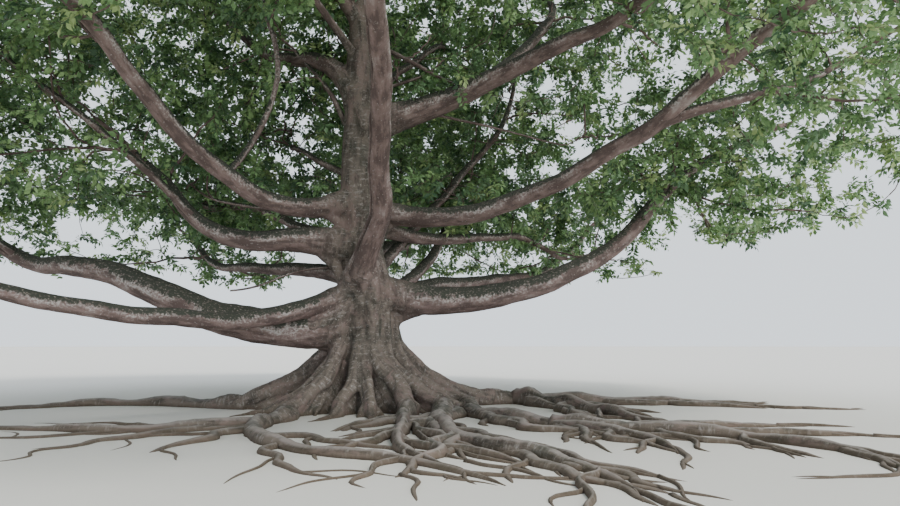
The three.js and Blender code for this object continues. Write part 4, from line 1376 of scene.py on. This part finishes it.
class BANYAN_OT_foliage(bpy.types.Operator):
    """Grow limbs, twigs and sprays of leaves on from each bough's tip, mass by mass"""

    bl_idname = "banyan.foliage"
    bl_label = "Foliage"

    def execute(self, context):
        sizes = context.scene.banyan_sizes
        greens = leaf_materials(context.scene.banyan_colours)
        bark = twig_material()
        middles = [np.array(mass_middle(mass)) for mass in MASSES]
        shapes = spray_shapes(random.Random(SEED), sizes)
        for index, mass in enumerate(MASSES + SMALL_MASSES):
            rng = np.random.default_rng(SEED + index)
            limbs, twigs, roots, tips = grow_mass(mass, middles if mass in MASSES else [], sizes, rng)
            wood = joined((rods_from(limbs, 6), rods_from(twigs, 3), spikes_from(roots, tips, STALK_RADIUS)))
            mesh = mesh_from("twigs_" + mass.bough, *wood)
            mesh.polygons.foreach_set("use_smooth", [True] * len(mesh.polygons))
            mesh.materials.append(bark)
            self.place(mesh, "bark")
            scale = FINE_SCALE if mass.bough == FINE_MASS else 1
            mesh = mesh_from("leaves_" + mass.bough, *sprays_at(rng, roots, tips, shapes, scale))
            for green in greens:
                mesh.materials.append(green)
            # Greens dealt by spray: darker inside the crown as painted shade, lighter outside as painted
            # light, with a random scatter of the leaves' own tone.
            outward = np.linalg.norm(tips - (0, 0, SHADE_LEVEL), axis=1) / CROWN_RADIUS
            shade = outward * PAINTED_LIGHT_GAIN + PAINTED_SHADE_INSIDE + rng.normal(scale=SHADE_SCATTER, size=len(tips))
            shade = np.clip(shade, 0, len(greens) - 1)
            tone_and_painted_light = np.repeat(np.rint(shade).astype(np.int32), LEAVES * 2)
            mesh.polygons.foreach_set("material_index", tone_and_painted_light)
            leaves = self.place(mesh, "foliage")
            if mass in MASSES:
                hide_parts("foliage_" + mass.bough)
        return {"FINISHED"}

    def place(self, mesh, slot):
        made = bpy.data.objects.new(mesh.name, mesh)
        bpy.context.scene.collection.objects.link(made)
        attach(made, "root")
        return made


class Finish:
    """A Principled material and the nodes that colour it."""

    def __init__(self, name, roughness, specular):
        self.material = bpy.data.materials.new(name)
        self.material.use_nodes = True
        self.tree = self.material.node_tree
        self.shader = self.tree.nodes["Principled BSDF"]
        self.put(self.shader.inputs["Roughness"], roughness)
        self.put(self.shader.inputs["Specular IOR Level"], specular)

    def put(self, socket, value):
        """Sets a socket to a plain value, or links it to another node's."""
        if isinstance(value, bpy.types.NodeSocket):
            self.tree.links.new(value, socket)
        else:
            socket.default_value = value

    def node(self, kind, **values):
        """Adds a shader node; values name its inputs, or its settings where no input has the name."""
        made = self.tree.nodes.new("ShaderNode" + kind)
        for name, value in values.items():
            socket = made.inputs.get(name.replace("_", " ").title())
            if socket is None:
                setattr(made, name, value)
            else:
                self.put(socket, value)
        return made

    def attribute(self, name, output="Fac"):
        return self.node("Attribute", attribute_name=name).outputs[output]

    def upward(self, kind, output):
        """The upward part of a direction or place that a node gives."""
        return self.node("SeparateXYZ", vector=self.node(kind).outputs[output]).outputs["Z"]

    def noise(self, place, scale, detail=4.0, roughness=0.55):
        """Noise over places that are scaled unevenly first."""
        mapping = self.node("Mapping", vector=place, scale=scale)
        made = self.node("TexNoise", vector=mapping.outputs[0], scale=1.0, detail=detail, roughness=roughness)
        return made.outputs["Fac"]

    def share(self, value, low, high):
        """Smooth share of a value between two limits."""
        made = self.node("MapRange", interpolation_type="SMOOTHSTEP", value=value)
        self.put(made.inputs["From Min"], low)
        self.put(made.inputs["From Max"], high)
        return made.outputs[0]

    def maths(self, operation, a, b):
        made = self.node("Math", operation=operation)
        self.put(made.inputs[0], a)
        self.put(made.inputs[1], b)
        return made.outputs[0]

    def product(self, a, b):
        return self.maths("MULTIPLY", a, b)

    def raised(self, value, by, strength, middle=0.0):
        """A value raised by a share of how far another one is above its middle."""
        above = self.maths("SUBTRACT", by, middle) if middle else by
        return self.maths("ADD", value, self.product(above, strength))

    def blend(self, share, a, b):
        """Colour between two colours, which may be plain or come from other nodes."""
        made = self.node("Mix", data_type="RGBA")
        self.put(made.inputs[0], share)
        for socket, colour in zip(made.inputs[6:8], (a, b)):
            self.put(socket, colour if isinstance(colour, bpy.types.NodeSocket) else (*colour, 1))
        return made.outputs[2]

    def bark_noises(self):
        """Streaks along a limb, wrinkles across it, broad patches and flecks, all in limb coordinates."""
        place = self.attribute("bark_place", "Vector")
        return (self.noise(place, (7, 7, 1.8), 6.0, 0.62), self.noise(place, (6, 6, 17), 4.0, 0.62),
                self.noise(place, (1.5, 1.5, 1), 6.0, 0.68), self.noise(place, (26, 26, 20)))

    def rough_colour(self, colours, streak, wrinkle, patch):
        """Grey brown bark of trunk and roots with rosy, pale and mossy patches."""
        colour = self.blend(self.share(streak, 0.32, 0.6), colours.bark_dark, colours.bark)
        colour = self.blend(self.product(self.share(patch, 0.5, 0.62), 0.6), colour, colours.bark_rosy)
        worn = self.product(self.share(wrinkle, 0.5, 0.68), self.share(patch, 0.6, 0.42))
        colour = self.blend(self.product(worn, 0.45), colour, colours.bark_pale)
        return self.blend(self.product(self.share(patch, 0.48, 0.36), 0.6), colour, colours.moss)

    def darkened_near_ground(self, colours, colour):
        """Darkens bark close to the ground."""
        low = self.share(self.upward("TexCoord", "Object"), 0.14, 0.0)
        return self.blend(self.product(low, 0.75), colour, colours.bark_near_ground)

    def bark_surface(self, colour, streak, wrinkle, fleck, depth):
        """Joins the colour to the shader and raises the bark from its streaks, wrinkles and flecks."""
        height = self.raised(self.raised(streak, wrinkle, 0.55), fleck, 0.2)
        bump = self.node("Bump", strength=0.85, distance=depth, height=height)
        self.put(self.shader.inputs["Normal"], bump.outputs[0])
        self.put(self.shader.inputs["Base Color"], colour)


def bark_material():
    """Bark of trunk and boughs: boughs are mossy on top, ragged white below that and rosy beneath."""
    if "mossy bark" in bpy.data.materials:
        return bpy.data.materials["mossy bark"]
    colours = bpy.context.scene.banyan_colours
    bark = Finish("mossy bark", 0.88, 0.25)
    streak, wrinkle, patch, fleck = bark.bark_noises()
    mottle = bark.raised(streak, patch, 0.8, 0.5)
    under = bark.blend(bark.share(mottle, 0.36, 0.6), colours.bark_shade, colours.bark_rosy)
    under = bark.blend(bark.product(bark.share(mottle, 0.58, 0.74), 0.4), under, colours.bark_pale)
    ragged = bark.raised(bark.upward("NewGeometry", "Normal"), wrinkle, 1.3, 0.5)
    ragged = bark.raised(ragged, patch, 2.2, 0.5)
    bough_share = bark.attribute("bough_share")
    ragged = bark.raised(ragged, bough_share, 0.8, 1.0)
    white = bark.product(bark.share(ragged, -0.5, 0.12), bark.share(fleck, 0.4, 0.58))
    white = bark.product(white, bark.share(streak, 0.32, 0.56))
    white = bark.product(white, bark.share(patch, 0.38, 0.58))
    bough = bark.blend(white, under, colours.bark_pale)
    film = bark.blend(bark.share(fleck, 0.5, 0.7), colours.moss, colours.bark)
    bough = bark.blend(bark.share(ragged, 0.08, 0.36), bough, film)
    trunk = bark.darkened_near_ground(colours, bark.rough_colour(colours, streak, wrinkle, patch))
    colour = bark.blend(bough_share, trunk, bough)
    colour = bark.blend(bark.product(bark.share(fleck, 0.6, 0.72), 0.5), colour, colours.bark_pale)
    # Painted shade darkens the groove along the front bough.
    colour = bark.blend(bark.product(bark.attribute("groove"), 0.85), colour, colours.bark_groove)
    bark.bark_surface(colour, streak, wrinkle, fleck, 0.035)
    return bark.material


def root_material():
    """Root bark: paler on the upper sides of the backs, darker close to the ground, with a little moss."""
    colours = bpy.context.scene.banyan_colours
    bark = Finish("root bark", 0.92, 0.2)
    streak, wrinkle, patch, fleck = bark.bark_noises()
    colour = bark.rough_colour(colours, streak, wrinkle, patch)
    # Paler where the root's surface faces upwards.
    back = bark.maths("ADD", bark.upward("NewGeometry", "Normal"), patch)
    colour = bark.blend(bark.product(bark.share(back, 1.15, 1.5), 0.35), colour, colours.bark_pale)
    bark.bark_surface(bark.darkened_near_ground(colours, colour), streak, wrinkle, fleck, 0.03)
    return bark.material


def twig_material():
    """Thin bark of limbs and twigs inside the foliage."""
    colours = bpy.context.scene.banyan_colours
    bark = Finish("twig bark", 0.85, 0.25)
    patch = bark.noise(bark.node("TexCoord").outputs["Object"], (5, 5, 5))
    colour = bark.blend(bark.share(patch, 0.4, 0.62), colours.bark_shade, colours.bark_rosy)
    bark.put(bark.shader.inputs["Base Color"], colour)
    return bark.material


def leaf_materials(colours):
    """Plain greens from the darkest, painted shade deep in the crown, to the freshest, painted light and
    young leaves outside.
    """
    greens = []
    for name in ("leaf_deep_painted_shade", "leaf_dark", "leaf", "leaf_painted_light", "leaf_young_painted_light"):
        leaf = Finish(name.replace("_", " "), 0.42, 0.45)
        leaf.put(leaf.shader.inputs["Base Color"], (*getattr(colours, name), 1))
        greens.append(leaf.material)
    return greens


class BANYAN_OT_stage(bpy.types.Operator):
    """Lay a pale floor and set the soft light and the camera"""

    bl_idname = "banyan.stage"
    bl_label = "Stage"

    def execute(self, context):
        scene = context.scene
        bm = bmesh.new()
        bmesh.ops.create_circle(bm, cap_ends=True, segments=96, radius=FLOOR_RADIUS)
        pale = bpy.data.materials.new("pale floor")
        pale.use_nodes = True
        shader = pale.node_tree.nodes["Principled BSDF"]
        shader.inputs["Base Color"].default_value = FLOOR_COLOUR
        shader.inputs["Roughness"].default_value = 0.95
        floor = put_in_scene("floor", bm, pale)
        world = bpy.data.worlds.new("soft sky")
        world.use_nodes = True
        sky = world.node_tree.nodes["Background"]
        sky.inputs["Color"].default_value = SKY_COLOUR
        sky.inputs["Strength"].default_value = SKY_STRENGTH
        scene.world = world
        for sun in SUNS:
            light = bpy.data.lights.new(sun.name, "SUN")
            light.energy = sun.energy
            light.angle = math.radians(sun.softness)
            light.color = sun.tint
            lamp = bpy.data.objects.new(sun.name, light)
            lamp.rotation_euler = Vector(sun.place).to_track_quat("Z", "Y").to_euler()
            scene.collection.objects.link(lamp)
        camera = bpy.data.objects.new("camera", bpy.data.cameras.new("camera"))
        camera.data.lens = LENS
        camera.data.clip_end = FLOOR_RADIUS + 100
        camera.location = EYE
        camera.rotation_euler = direction(90 - EYE_YAW, EYE_PITCH).to_track_quat("-Z", "Y").to_euler()
        scene.collection.objects.link(camera)
        scene.camera = camera
        return {"FINISHED"}


class BANYAN_PT_panel(bpy.types.Panel):
    """Lists the banyan's pieces with their sizes and colours"""

    bl_label = "Banyan"
    bl_idname = "BANYAN_PT_panel"
    bl_space_type = "VIEW_3D"
    bl_region_type = "UI"
    bl_category = "Banyan"

    def draw(self, context):
        for group in (context.scene.banyan_sizes, context.scene.banyan_colours):
            column = self.layout.column()
            for name in group.__annotations__:
                column.prop(group, name)
        for operator in OPERATORS:
            self.layout.operator(operator.bl_idname)


OPERATORS = (BANYAN_OT_trunk, BANYAN_OT_boughs, BANYAN_OT_roots, BANYAN_OT_foliage, BANYAN_OT_stage)
CLASSES = (BanyanSizes, BanyanColours, *OPERATORS, BANYAN_PT_panel)


def register():
    for item in CLASSES:
        bpy.utils.register_class(item)
    bpy.types.Scene.banyan_sizes = bpy.props.PointerProperty(type=BanyanSizes)
    bpy.types.Scene.banyan_colours = bpy.props.PointerProperty(type=BanyanColours)


def unregister():
    del bpy.types.Scene.banyan_colours
    del bpy.types.Scene.banyan_sizes
    for item in reversed(CLASSES):
        bpy.utils.unregister_class(item)


def main():
    register()
    bpy.ops.banyan.trunk()
    bpy.ops.banyan.boughs()
    bpy.ops.banyan.roots()
    bpy.ops.banyan.foliage()
    bpy.ops.banyan.stage()


if __name__ == "__main__":
    main()
